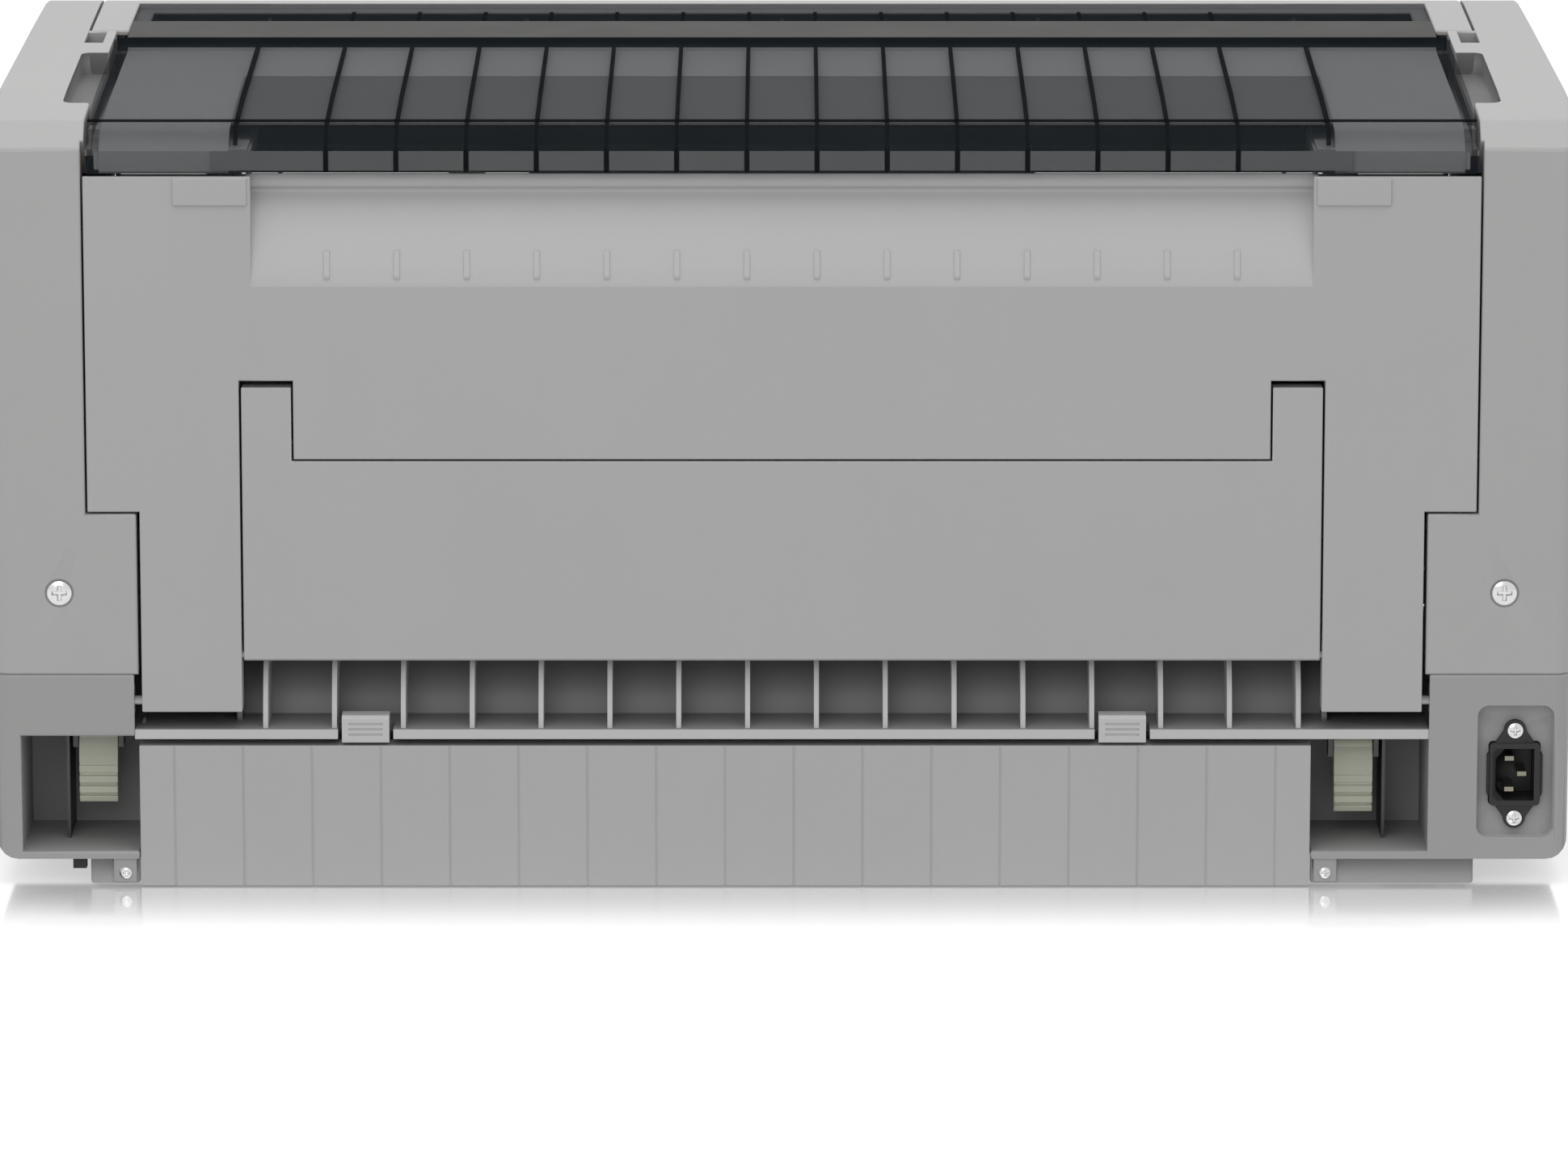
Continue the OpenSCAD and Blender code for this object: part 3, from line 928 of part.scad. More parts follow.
// ---- tractors ----
pin_wheel_r = 13.6;
tractor_top = shaft_c[1] + 14.2;
tractor_y = [shaft_c[0] - 16.5, shaft_c[0] - 16.5 + tractor_l];
lid_t = 4;
lid_z = tractor_top + 0.5;
module tractor(s) color("#45484b") side(s) {
    x0 = tractor_x - tractor_w / 2;
    x1 = tractor_x + tractor_w / 2;
    hinge = [x1 + 2.4, lid_z + 1.6];
    difference() {
        union() {
            along_x(x0, x1) rrect([tractor_y[0], shaft_c[1] - 16], [tractor_y[1], tractor_top], 8);
            for (y = [tractor_y[0] + 12, tractor_y[1] - 20]) block([x1 - 2, hinge[0] + 2], [y, y + 8], [lid_z - 9, lid_z - 1.8]);
            rod_y(tractor_y[0] + 12, tractor_y[1] - 12, hinge[0], hinge[1], 1.4);
            for (y = [tractor_y[0] + 12, tractor_y[1] - 20]) block([hinge[0] - 2, hinge[0] + 2], [y, y + 8], [lid_z - 9, hinge[1]]);
        }
        block([tractor_x - 5.4, tractor_x + 5.4], [shaft_c[0] - 17, shaft_c[0] + 17], [shaft_c[1] - 16.9, tractor_top + 1]);
        rod_x(x0 - 1, x1 + 1, shaft_c, 7.4);
        rod_x(x0 - 1, x1 + 1, rail_c, rail_r + pin_clear);
        for (k = [0:3]) block([tractor_x - 2.4, tractor_x + 2.4],
            [tractor_y[0] + 38 + k * 8, tractor_y[0] + 42 + k * 8], [tractor_top - 1.2, tractor_top + 1]);
    }
}
module lid(s) color("#5a5e61") side(s) {
    x0 = tractor_x - tractor_w / 2 - 4;
    x1 = tractor_x + tractor_w / 2;
    hinge = [x1 + 2.4, lid_z + 1.6];
    difference() {
        union() {
            block([x0, x1 + 0.1], [tractor_y[0] + 2, tractor_y[1] - 2], [lid_z, lid_z + lid_t - 1.4]);
            block([x0, x0 + 2], [tractor_y[0] + 20, tractor_y[1] - 20], [lid_z, lid_z + lid_t + 2]);
            rod_y(tractor_y[0] + 20.4, tractor_y[1] - 20.4, hinge[0], hinge[1], 2.8);
            block([x1 - 1, hinge[0]], [tractor_y[0] + 20.4, tractor_y[1] - 20.4], [lid_z, lid_z + 2.6]);
        }
        rod_y(tractor_y[0], tractor_y[1], hinge[0], hinge[1], 1.4 + pin_clear);
        block([tractor_x - 3, tractor_x + 3], [tractor_y[0] + 5, tractor_y[1] - 5], [lid_z - 2, lid_z + lid_t + 2]);
    }
}
module pin_wheel(s) color("#e0dccb") side(s) difference() {
    union() {
        rod_x(tractor_x - 4.6, tractor_x + 4.6, shaft_c, pin_wheel_r);
        rod_x(tractor_x - 11.8, tractor_x + 11.8, shaft_c, 7.2);
        for (k = [0:7]) translate([tractor_x, shaft_c[0], shaft_c[1]]) rotate([k * 45 + 22.5, 0, 0])
            translate([0, 0, pin_wheel_r - 2]) cylinder(h = 4.6, r = 1.7);
    }
    block([0, body_w], [shaft_c[0] - 4.2, shaft_c[0] + 4.2], [shaft_c[1] - 4.2, shaft_c[1] + 4.2]);
}
module left_tractor() tractor(1);
module right_tractor() tractor(-1);
module left_tractor_lid() lid(1);
module right_tractor_lid() lid(-1);
module left_pin_wheel() pin_wheel(1);
module right_pin_wheel() pin_wheel(-1);

// ---- ribbon cartridge ----
cart_x = platen_l / 2 - 10;
cart_y = [yf + 16, yf + 52];
cart_z = [beam_top, beam_top + 24];
knob_c = [cart_x - 55, cart_y[0] + 18];
module ribbon_cartridge() color("#232528") {
    difference() {
        union() {
            translate([0, 0, cart_z[0]]) linear_extrude(cart_z[1] - cart_z[0]) rrect([-cart_x, cart_y[0]], [cart_x, cart_y[1]], 6);
            both() block([cart_x - 9, cart_x + 5], [cart_y[0] + 23, platen_y - platen_r - 2], [cart_z[0] + 4, cart_z[1] - 6]);
        }
        both() block([cart_x - 6, cart_x + 2], [cart_y[1] + 1, platen_y - platen_r], [cart_z[0] + 6, cart_z[1] - 8]);
        rod_z(cart_z[1] - 10, cart_z[1] + 4, knob_c[0], knob_c[1], 3 + pin_clear);
    }
    // inked ribbon between the arms
    block([-cart_x + 5, cart_x - 5], [platen_y - platen_r - 1.3, platen_y - platen_r - 0.9], [platen_z - 6, platen_z + 7]);
    both() block([cart_x - 9, cart_x + 5], [platen_y - platen_r - 4, platen_y - platen_r - 1], [platen_z - 6, cart_z[0] + 8]);
}

module ribbon_knob() color("#e4e2d8") union() {
    difference() {
        rod_z(cart_z[1] + 0.3, cart_z[1] + 9, knob_c[0], knob_c[1], 9);
        for (k = [0:11]) translate([knob_c[0], knob_c[1], cart_z[1] + 2]) rotate(k * 30) translate([8.3, -0.8, 0]) cube([2, 1.6, 9]);
    }
    rod_z(cart_z[1] - 9, cart_z[1] + 1, knob_c[0], knob_c[1], 3);
}

// ---- electronics ----
board_x = [-plate_x / 2 + 36, plate_x - 16];
board_y = [plate_y[0] + 52, plate_y[1] - 16];
supply_x = [-plate_x + 12, -plate_x + 142];
supply_y = [plate_y[0] + 62, plate_y[1] - 20];
module main_board() color("#2f5a3c") {
    block(board_x, board_y, [pan_z + 8, pan_z + 9.6]);
    for (x = [board_x[0] + 10, board_x[1] - 10], y = [board_y[0] + 8, board_y[1] - 8]) rod_z(pan_z + pan_t, pan_z + 8.1, x, y, 3);
    translate([board_x[0], board_y[0], pan_z + 9.5]) {
        for (x = [50, 120, 200]) block([x, x + 34], [50, 84], [0, 3.5]);
        for (x = [20, 150, 270]) block([x, x + 40], [160, 176], [0, 10.5]);
        for (x = [70, 100, 240]) rod_z(0, 20.5, x, 130, 8);
    }
}
module power_supply() color("#9ea2a5") difference() {
    block(supply_x, supply_y, [pan_z + pan_t, base_h - 5]);
    for (k = [0:8]) translate([supply_x[0] + 8 + k * 13, 0, 0]) block([0, 6], [supply_y[0] + 20, supply_y[1] - 22], [base_h - 9, base_h - 3]);
}
fan_c = [-17, 58];
fan_x = [half_w - 38, half_w - 20];
module fan_frame() color("#222426") {
    difference() {
        block(fan_x, [fan_c[0] - 32, fan_c[0] + 32], [fan_c[1] - 32, fan_c[1] + 32]);
        rod_x(fan_x[0] - 1, fan_x[1] + 1, fan_c, 30);
    }
    for (k = [0:2]) translate([fan_x[0], fan_c[0], fan_c[1]]) rotate([k * 120, 0, 0])
        translate([0, -2.5, 9]) cube([2.4, 5, 22]);
    rod_x(fan_x[0], fan_x[0] + 3, fan_c, 11);
    rod_x(fan_x[0] + 2, fan_x[0] + 12, fan_c, 2);
    block([fan_x[0] + 3, fan_x[1] - 3], [fan_c[0] - 10, fan_c[0] + 10], [pan_z, fan_c[1] - 31]);
}
module fan_rotor() color("#2c2f32") difference() {
    union() {
        rod_x(fan_x[0] + 3.6, fan_x[1] - 1.5, fan_c, 12);
        for (k = [0:6]) translate([fan_x[0] + 10, fan_c[0], fan_c[1]]) rotate([k * 360 / 7, 0, 0])
            translate([0, 0, 11]) rotate([0, 0, 38]) translate([-1, -7, 0]) cube([2, 14, 17.6]);
    }
    rod_x(fan_x[0] + 1, fan_x[0] + 13, fan_c, 2 + pin_clear);
}

// ---- mains inlet ----
inlet_y = yr - pocket_d;
module inlet_flange() hull_like(12.4, 24.6, 5);
// Six-sided flange with round ends, made of exact arcs and straight edges
module hull_like(w, h, r) union() {
    for (k = [-1, 1]) translate([0, k * (h - r)]) circle(r);
    polygon([[-r, h - r], [-w, 9], [-w, -9], [-r, -h + r], [r, -h + r], [w, -9], [w, 9], [r, h - r]]);
}
module mains_inlet() color("#111411") translate([-inlet_x, 0, inlet_z]) difference() {
    union() {
        along_y(inlet_y, inlet_y + 2.6) inlet_flange();
        along_y(inlet_y - 20, inlet_y + 4) rrect([-11.2, -14.2], [11.2, 14.2], 2);
    }
    along_y(inlet_y - 15, inlet_y + 5) polygon([[-8.6, -11.8], [4.6, -11.8], [8.6, -7.4], [8.6, 7.4], [4.6, 11.8], [-8.6, 11.8]]);
    for (k = [-1, 1]) rod_y(inlet_y - 1, inlet_y + 5, 0, k * inlet_pitch / 2, 1.75);
}
module inlet_pins() color("#c9b98a") translate([-inlet_x, 0, inlet_z])
    for (p = [[2.4, -7], [2.4, 7], [-3.2, 0]]) block([p[0] - 2, p[0] + 2], [inlet_y - 15, inlet_y + 2], [p[1] - 1, p[1] + 1]);
module inlet_screws() for (k = [-1, 1]) difference() {
    union() {
        rod_y(inlet_y - 6, inlet_y + 2.6, -inlet_x, inlet_z + k * inlet_pitch / 2, 1.5);
        rod_y(inlet_y + 2.6, inlet_y + 4.2, -inlet_x, inlet_z + k * inlet_pitch / 2, 3.4, 2.6);
    }
    block([-inlet_x - 2.2, -inlet_x + 2.2], [inlet_y + 3.4, inlet_y + 5],
        [inlet_z + k * inlet_pitch / 2 - 0.4, inlet_z + k * inlet_pitch / 2 + 0.4]);
}
module housing_screws() both() difference() {
    union() {
        rod_y(yr - 12, yr - 1, screw_x, screw_z, 2.6);
        rod_y(yr - 1.2, yr + 0.6, screw_x, screw_z, 5.4, 4.4);
    }
    for (t = [0, 90]) translate([screw_x, yr + 0.6, screw_z]) rotate([0, t, 0]) cube([5, 1.6, 1], center = true);
}
module clip_screws() for (x = clip_x) difference() {
    union() {
        rod_y(band_y[1] - 6, band_y[1] + clip_t, x + clip_w / 2, clip_screw_z, clip_screw_r - 0.9);
        rod_y(band_y[1] + clip_t, band_y[1] + clip_t + 0.6, x + clip_w / 2, clip_screw_z, clip_screw_r);
    }
    block([x + clip_w / 2 - 1.6, x + clip_w / 2 + 1.6], [band_y[1] + clip_t + 0.2, yr], [clip_screw_z - 0.3, clip_screw_z + 0.3]);
}
module screws() color("#c6c8c8") {
    housing_screws();
    inlet_screws();
    clip_screws();
}
foot_at = [for (x = [-band_x + 23, band_x - 23], y = [band_y[0] + 20, band_y[1] - 67]) [x, y]];
module rubber_feet() color("#232323") {
    for (p = foot_at) difference() {
        rod_z(0, pod_z, p[0], p[1], 13);
        rod_z(-1, 3, p[0], p[1], 4);
    }
    // stop under the left pod
    block([band_x + 2, band_x + 8], [yr - 9, yr - 3], [pod_z - 5, pod_z]);
}

base_tray();
left_housing();
right_housing();
bottom_guide_panel();
paper_ramp();
entry_ribs();
upper_frame();
exit_guide();
hinge_bar();
front_panel();
control_panel();
display_window();
side_plates();
chassis_pan();
cross_beams();
carriage_rod();
tractor_rail();
carriage_motor();
feed_motor();
main_board();
power_supply();
fan_frame();
fan_rotor();
mains_inlet();
inlet_pins();
screws();
rubber_feet();
lever_brackets();
rear_cover();
rear_flap();
exit_cover();
front_hood();
hood_window();
front_cover();
left_latch();
right_latch();
left_lever();
right_lever();
load_key();
feed_key();
pause_key();
menu_key();
power_switch();
carriage();
print_head();
carriage_belt();
drive_pulley();
idler_pulley();
platen();
feed_pinion();
idler_gear();
tractor_shaft();
left_tractor();
left_tractor_lid();
left_pin_wheel();
right_tractor();
right_tractor_lid();
right_pin_wheel();
ribbon_cartridge();
ribbon_knob();
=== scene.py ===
"""Looks of a wide-carriage dot matrix printer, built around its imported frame.

Every length is in metres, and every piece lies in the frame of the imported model. +Z is up, and +Y is the
rear, where paper goes in and out. The camera looks at that side.
"""

import json
import logging
import math
from collections.abc import Callable
from dataclasses import dataclass, field
from enum import Enum

import bmesh
import bpy
import numpy as np
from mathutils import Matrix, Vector
from mathutils.geometry import intersect_point_line


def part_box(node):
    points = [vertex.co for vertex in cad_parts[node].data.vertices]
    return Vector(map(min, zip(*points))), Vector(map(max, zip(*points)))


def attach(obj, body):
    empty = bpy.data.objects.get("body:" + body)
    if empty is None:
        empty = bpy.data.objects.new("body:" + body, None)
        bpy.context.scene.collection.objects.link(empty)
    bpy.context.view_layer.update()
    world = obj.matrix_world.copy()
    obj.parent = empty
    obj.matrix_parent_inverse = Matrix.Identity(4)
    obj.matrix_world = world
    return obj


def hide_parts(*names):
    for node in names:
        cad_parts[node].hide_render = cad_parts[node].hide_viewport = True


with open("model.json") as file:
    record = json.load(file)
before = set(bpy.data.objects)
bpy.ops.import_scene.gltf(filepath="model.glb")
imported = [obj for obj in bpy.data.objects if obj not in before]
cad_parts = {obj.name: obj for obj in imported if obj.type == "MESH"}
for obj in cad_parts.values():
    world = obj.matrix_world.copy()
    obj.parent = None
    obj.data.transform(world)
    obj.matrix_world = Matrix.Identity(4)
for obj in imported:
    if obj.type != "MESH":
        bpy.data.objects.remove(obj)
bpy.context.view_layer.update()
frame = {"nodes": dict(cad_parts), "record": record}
MM = 0.001
SAME_POINT = 1e-6
log = logging.getLogger("printer")

Colour = tuple[float, float, float]


def grey(level: int, warm: float = 0.0) -> Colour:
    """Linear colour of a grey.

    Args:
        level: Brightness as a picture shows it, from 0 to 255.
        warm: Share by which red gains and blue loses.

    Returns:
        The red, green and blue values, each from 0 to 1.
    """
    c = level / 255
    lin = c / 12.92 if c <= 0.04045 else ((c + 0.055) / 1.055) ** 2.4
    return (lin * (1 + warm), lin, lin * (1 - warm))


# ---------------------------------------------------------------- shader graph


class Expr:
    """A number that varies over a surface; Python operators on it add Math nodes."""

    def __init__(self, graph: "Graph", socket: bpy.types.NodeSocket) -> None:
        """Wraps the socket of a graph's node."""
        self.graph = graph
        self.socket = socket

    def _math(self, operation: str, first: object, second: object = None) -> "Expr":
        """Adds a Math node.

        Args:
            operation: What the node works out.
            first: Its first value, an expression or a number.
            second: Its second value, if it takes one.

        Returns:
            The node's result.
        """
        values = {0: first} if second is None else {0: first, 1: second}
        node = self.graph.node("ShaderNodeMath", {"operation": operation}, values)
        return Expr(self.graph, node.outputs[0])

    def __add__(self, other: object) -> "Expr":
        """Sum."""
        return self._math("ADD", self, other)

    def __sub__(self, other: object) -> "Expr":
        """Difference."""
        return self._math("SUBTRACT", self, other)

    def __rsub__(self, other: object) -> "Expr":
        """Difference from a number on the left."""
        return self._math("SUBTRACT", other, self)

    def __mul__(self, other: object) -> "Expr":
        """Product."""
        return self._math("MULTIPLY", self, other)

    __radd__ = __add__
    __rmul__ = __mul__

    def sine(self) -> "Expr":
        """Sine of the value."""
        return self._math("SINE", self)

    def absolute(self) -> "Expr":
        """The value without its sign."""
        return self._math("ABSOLUTE", self)

    def highest(self, other: object) -> "Expr":
        """The larger of two values."""
        return self._math("MAXIMUM", self, other)

    def ramp(self, start: float, end: float, low: float = 0.0, high: float = 1.0) -> "Expr":
        """Maps start..end smoothly to low..high and holds the ends."""
        node = self.graph.node("ShaderNodeMapRange", {"interpolation_type": "SMOOTHSTEP"},
                               {0: self, 1: start, 2: end, 3: low, 4: high})
        return Expr(self.graph, node.outputs[0])


class Graph:
    """The nodes of one material, with one method that adds any node."""

    def __init__(self, name: str) -> None:
        """Makes a material that holds only its output and its shader.

        Args:
            name: The finish's name.
        """
        self.material = bpy.data.materials.new(f"{name}_finish")
        self.material.use_nodes = True
        self.tree = self.material.node_tree
        self.tree.nodes.clear()
        self.output = self.node("ShaderNodeOutputMaterial")
        self.shader = self.node("ShaderNodeBsdfPrincipled")
        self.link(self.shader.outputs[0], self.output.inputs[0])
        self.place = self.node("ShaderNodeTexCoord").outputs["Object"]

    def link(self, source: bpy.types.NodeSocket, target: bpy.types.NodeSocket) -> None:
        """Joins two sockets."""
        self.tree.links.new(source, target)

    def node(self, kind: str, settings: dict | None = None, inputs: dict | None = None) -> bpy.types.Node:
        """Adds one node.

        Args:
            kind: The node's type.
            settings: Properties that are set first.
            inputs: Values, expressions or sockets by the name or number of an input.

        Returns:
            The new node.
        """
        node = self.tree.nodes.new(kind)
        for key, value in (settings or {}).items():
            setattr(node, key, value)
        for key, value in (inputs or {}).items():
            if isinstance(value, Expr):
                self.link(value.socket, node.inputs[key])
            elif isinstance(value, bpy.types.NodeSocket):
                self.link(value, node.inputs[key])
            else:
                node.inputs[key].default_value = value
        return node

    def set(self, **values: object) -> None:
        """Sets or links inputs of the shader.

        Args:
            values: Values, expressions or sockets by the input's name, with underscores for its blanks.
        """
        for key, value in values.items():
            socket = self.shader.inputs[key.replace("_", " ")]
            if isinstance(value, Expr):
                self.link(value.socket, socket)
            elif isinstance(value, bpy.types.NodeSocket):
                self.link(value, socket)
            elif isinstance(value, tuple) and len(value) == 3:
                socket.default_value = (*value, 1.0)
            else:
                socket.default_value = value

    def axis(self, index: int) -> Expr:
        """One coordinate of the place on the surface."""
        return Expr(self, self.node("ShaderNodeSeparateXYZ", inputs={0: self.place}).outputs[index])

    def noise(self, size: float, detail: float = 3.0, stretch: tuple[float, float, float] = (1, 1, 1),
              rough: float = 0.55) -> Expr:
        """Cloudy noise from 0 to 1.

        Args:
            size: About how wide its patches are.
            detail: How many finer layers lie over them.
            stretch: How far they are drawn out along each axis.
            rough: How strong the finer layers are.

        Returns:
            The noise.
        """
        turned = self.node("ShaderNodeVectorMath", {"operation": "MULTIPLY"},
                           {0: self.place, 1: tuple(1 / s for s in stretch)})
        node = self.node("ShaderNodeTexNoise", inputs={"Vector": turned.outputs[0], "Scale": 1 / size,
                                                       "Detail": detail, "Roughness": rough})
        return Expr(self, node.outputs[0])

    def cells(self, size: float) -> Expr:
        """Distance to the nearest of scattered points, as of leather grain."""
        node = self.node("ShaderNodeTexVoronoi", inputs={"Vector": self.place, "Scale": 1 / size})
        return Expr(self, node.outputs[0])

    def blend(self, mask: object, below: object, above: object) -> bpy.types.NodeSocket:
        """Mixes two colours.

        Args:
            mask: The second colour's share, from 0 to 1.
            below: The colour where the mask is 0, as a tuple or a socket.
            above: The colour where the mask is 1.

        Returns:
            The mixed colour's socket.
        """
        def colour(value: object) -> object:
            """A tuple with its opacity added, and a socket as it is."""
            return (*value, 1.0) if isinstance(value, tuple) else value
        node = self.node("ShaderNodeMix", {"data_type": "RGBA"},
                         {0: mask, 6: colour(below), 7: colour(above)})
        return node.outputs[2]

    def bump(self, height: Expr, distance: float, strength: float = 1.0) -> bpy.types.NodeSocket:
        """Normal of a surface raised by height times distance."""
        node = self.node("ShaderNodeBump",
                         inputs={"Strength": strength, "Distance": distance, "Height": height})
        return node.outputs[0]


def scaled(colour: Colour, factor: float) -> Colour:
    """The colour made lighter or darker by a factor."""
    return tuple(min(1.0, c * factor) for c in colour)


# ---------------------------------------------------------------- finishes


@dataclass(frozen=True)
class Moulded:
    """Injection-moulded plastic: a spark-eroded grain, faint flow mottling, and dust that settles on top.

    Its brightness is 1, plus the share mottle of cloudy patches and of streaks drawn out along Z, plus the
    share speckle of the grain. Dust lies in drifts where the surface faces up.
    """

    name: str
    tone: Colour
    roughness: float = 0.48
    grain: float = 0.0007
    depth: float = 0.00002
    mottle: float = 0.025
    dust: float = 0.10
    gloss: float = 0.36
    patch: float = 0.085
    streak: float = 0.022
    drawn: tuple[float, float, float] = (1.0, 1.0, 3.5)
    speckle: float = 0.05
    pit: float = 1.6
    relief: float = 0.6
    drift: float = 0.03
    facing_up: tuple[float, float] = (0.75, 1.0)
    drift_edge: tuple[float, float] = (0.35, 0.75)
    dust_pale: float = 1.3
    dust_rough: float = 0.5
    patch_rough: float = 0.10
    grain_rough: float = 0.12
    index: float = 1.49

    def material(self) -> bpy.types.Material:
        """Builds the material.

        Returns:
            The material.
        """
        g = Graph(self.name)
        patches = g.noise(self.patch, 4)
        flow = g.noise(self.streak, 3, self.drawn)
        fine = g.noise(self.grain, 2)
        pits = g.cells(self.grain * self.pit)
        shade = (patches - 0.5) * (2 * self.mottle) + (flow - 0.5) * self.mottle
        shade = shade + (fine - 0.5) * self.speckle + 1.0
        facing = Expr(g, g.node("ShaderNodeSeparateXYZ", inputs={
            0: g.node("ShaderNodeNewGeometry").outputs["Normal"]}).outputs[2])
        settled = facing.ramp(*self.facing_up) * g.noise(self.drift, 5).ramp(*self.drift_edge) * self.dust
        body = g.node("ShaderNodeMix", {"data_type": "RGBA", "blend_type": "MULTIPLY"},
                      {0: 1.0, 6: (*self.tone, 1.0), 7: g.node("ShaderNodeCombineColor", inputs={
                          0: shade, 1: shade, 2: shade}).outputs[0]})
        uneven = (patches - 0.5) * self.patch_rough + (fine - 0.5) * self.grain_rough
        g.set(Base_Color=g.blend(settled, body.outputs[2], scaled(self.tone, self.dust_pale)),
              Roughness=uneven + settled * self.dust_rough + self.roughness,
              Normal=g.bump(fine * self.relief + pits * self.relief, self.depth),
              Specular_IOR_Level=self.gloss,
              IOR=self.index)
        return g.material


@dataclass(frozen=True)
class Smoked:
    """Clear plastic with a smoke tint and faint wiping marks, which mirrors nothing.

    A fold that runs along X at depth fold, above the height fold_low, passes hardly any light.
    """

    name: str
    tone: Colour
    cover: float
    roughness: float = 0.12
    fold: float = 0.0
    fold_half: float = 0.0012
    fold_low: float = 0.3429
    fold_rise: float = 0.0006
    fold_cover: float = 0.96
    fold_tone: Colour = (0.004, 0.005, 0.006)
    wipe: float = 0.012
    wiped_along: tuple[float, float, float] = (9.0, 1.0, 1.0)
    wipe_depth: float = 0.000006
    haze: float = 0.06
    haze_cover: float = 0.03
    haze_shift: float = 0.08

    def material(self) -> bpy.types.Material:
        """Builds the material.

        Returns:
            The material.
        """
        g = Graph(self.name)
        wiped = g.noise(self.wipe, 4, self.wiped_along)
        haze = g.noise(self.haze, 4)
        alpha = (haze - 0.5) * self.haze_cover + self.cover
        tone = g.blend(haze.ramp(0.3, 0.8), scaled(self.tone, 1 - self.haze_shift),
                       scaled(self.tone, 1 + self.haze_shift))
        if self.fold > 0:
            near = (g.axis(1) - self.fold).absolute().ramp(self.fold_half, self.fold_half * 0.6)
            near = near * g.axis(2).ramp(self.fold_low, self.fold_low + self.fold_rise)
            alpha = alpha.highest(near * self.fold_cover)
            tone = g.blend(near, tone, self.fold_tone)
        g.set(Base_Color=tone,
              Roughness=wiped * 0.07 + haze * 0.05 + self.roughness,
              Alpha=alpha,
              Normal=g.bump(wiped, self.wipe_depth),
              Specular_IOR_Level=0.0)
        return g.material


@dataclass(frozen=True)
class Metal:
    """Bare or plated metal, with rolling or grinding lines along one axis and clouded lustre."""

    name: str
    tone: Colour
    roughness: float = 0.32
    lines: tuple[float, float, float] = (40.0, 1.0, 1.0)
    pitch: float = 0.0009
    spots: float = 0.10
    cloud: float = 0.018
    line_rough: float = 0.16
    cloud_rough: float = 0.14
    line_depth: float = 0.00001

    def material(self) -> bpy.types.Material:
        """Builds the material.

        Returns:
            The material.
        """
        g = Graph(self.name)
        lines = g.noise(self.pitch, 2, self.lines)
        cloud = g.noise(self.cloud, 4)
        level = self.roughness - (self.line_rough + self.cloud_rough) / 2
        g.set(Base_Color=g.blend(cloud.ramp(0.3, 0.8), scaled(self.tone, 1 - self.spots), self.tone),
              Metallic=1.0,
              Roughness=lines * self.line_rough + cloud * self.cloud_rough + level,
              Normal=g.bump(lines, self.line_depth))
        return g.material


@dataclass(frozen=True)
class Soft:
    """Rubber: matt, with a fine dull grain and a pale bloom in patches."""

    name: str
    tone: Colour
    roughness: float = 0.7
    grain: float = 0.0006
    depth: float = 0.00004
    bloom: float = 0.02
    bloom_share: float = 0.35
    bloom_pale: float = 2.2
    bloom_rough: float = 0.14

    def material(self) -> bpy.types.Material:
        """Builds the material.

        Returns:
            The material.
        """
        g = Graph(self.name)
        bloom = g.noise(self.bloom, 5)
        fine = g.noise(self.grain, 3)
        pale = bloom.ramp(0.45, 0.85) * self.bloom_share
        g.set(Base_Color=g.blend(pale, self.tone, scaled(self.tone, self.bloom_pale)),
              Roughness=bloom * self.bloom_rough + (self.roughness - 0.05),
              Normal=g.bump(fine, self.depth))
        return g.material


@dataclass(frozen=True)
class Board:
    """Circuit board: green mask over copper tracks that run along both axes, with tinned pads."""

    name: str
    tone: Colour
    pitch_x: float = 0.0051
    pitch_y: float = 0.0043
    track: tuple[float, float] = (0.55, 0.75)
    field_size: float = 0.014
    pad_pitch: float = 0.009
    pad: tuple[float, float] = (0.16, 0.12)
    tin: Colour = grey(196)
    height: float = 0.00005

    def material(self) -> bpy.types.Material:
        """Builds the material.

        Returns:
            The material.
        """
        g = Graph(self.name)
        x, y = g.axis(0), g.axis(1)
        along = (x * (math.tau / self.pitch_x)).sine().ramp(*self.track)
        across = (y * (math.tau / self.pitch_y)).sine().ramp(*self.track)
        choose = g.noise(self.field_size, 1).ramp(0.47, 0.53)
        tracks = along * choose + across * (1 - choose)
        pads = g.cells(self.pad_pitch).ramp(*self.pad)
        green = g.blend(tracks * 0.6, self.tone, scaled(self.tone, 1.9))
        g.set(Base_Color=g.blend(pads, green, self.tin),
              Metallic=pads * 0.9,
              Roughness=0.42 - pads * 0.12,
              Normal=g.bump(tracks + pads, self.height))
        return g.material


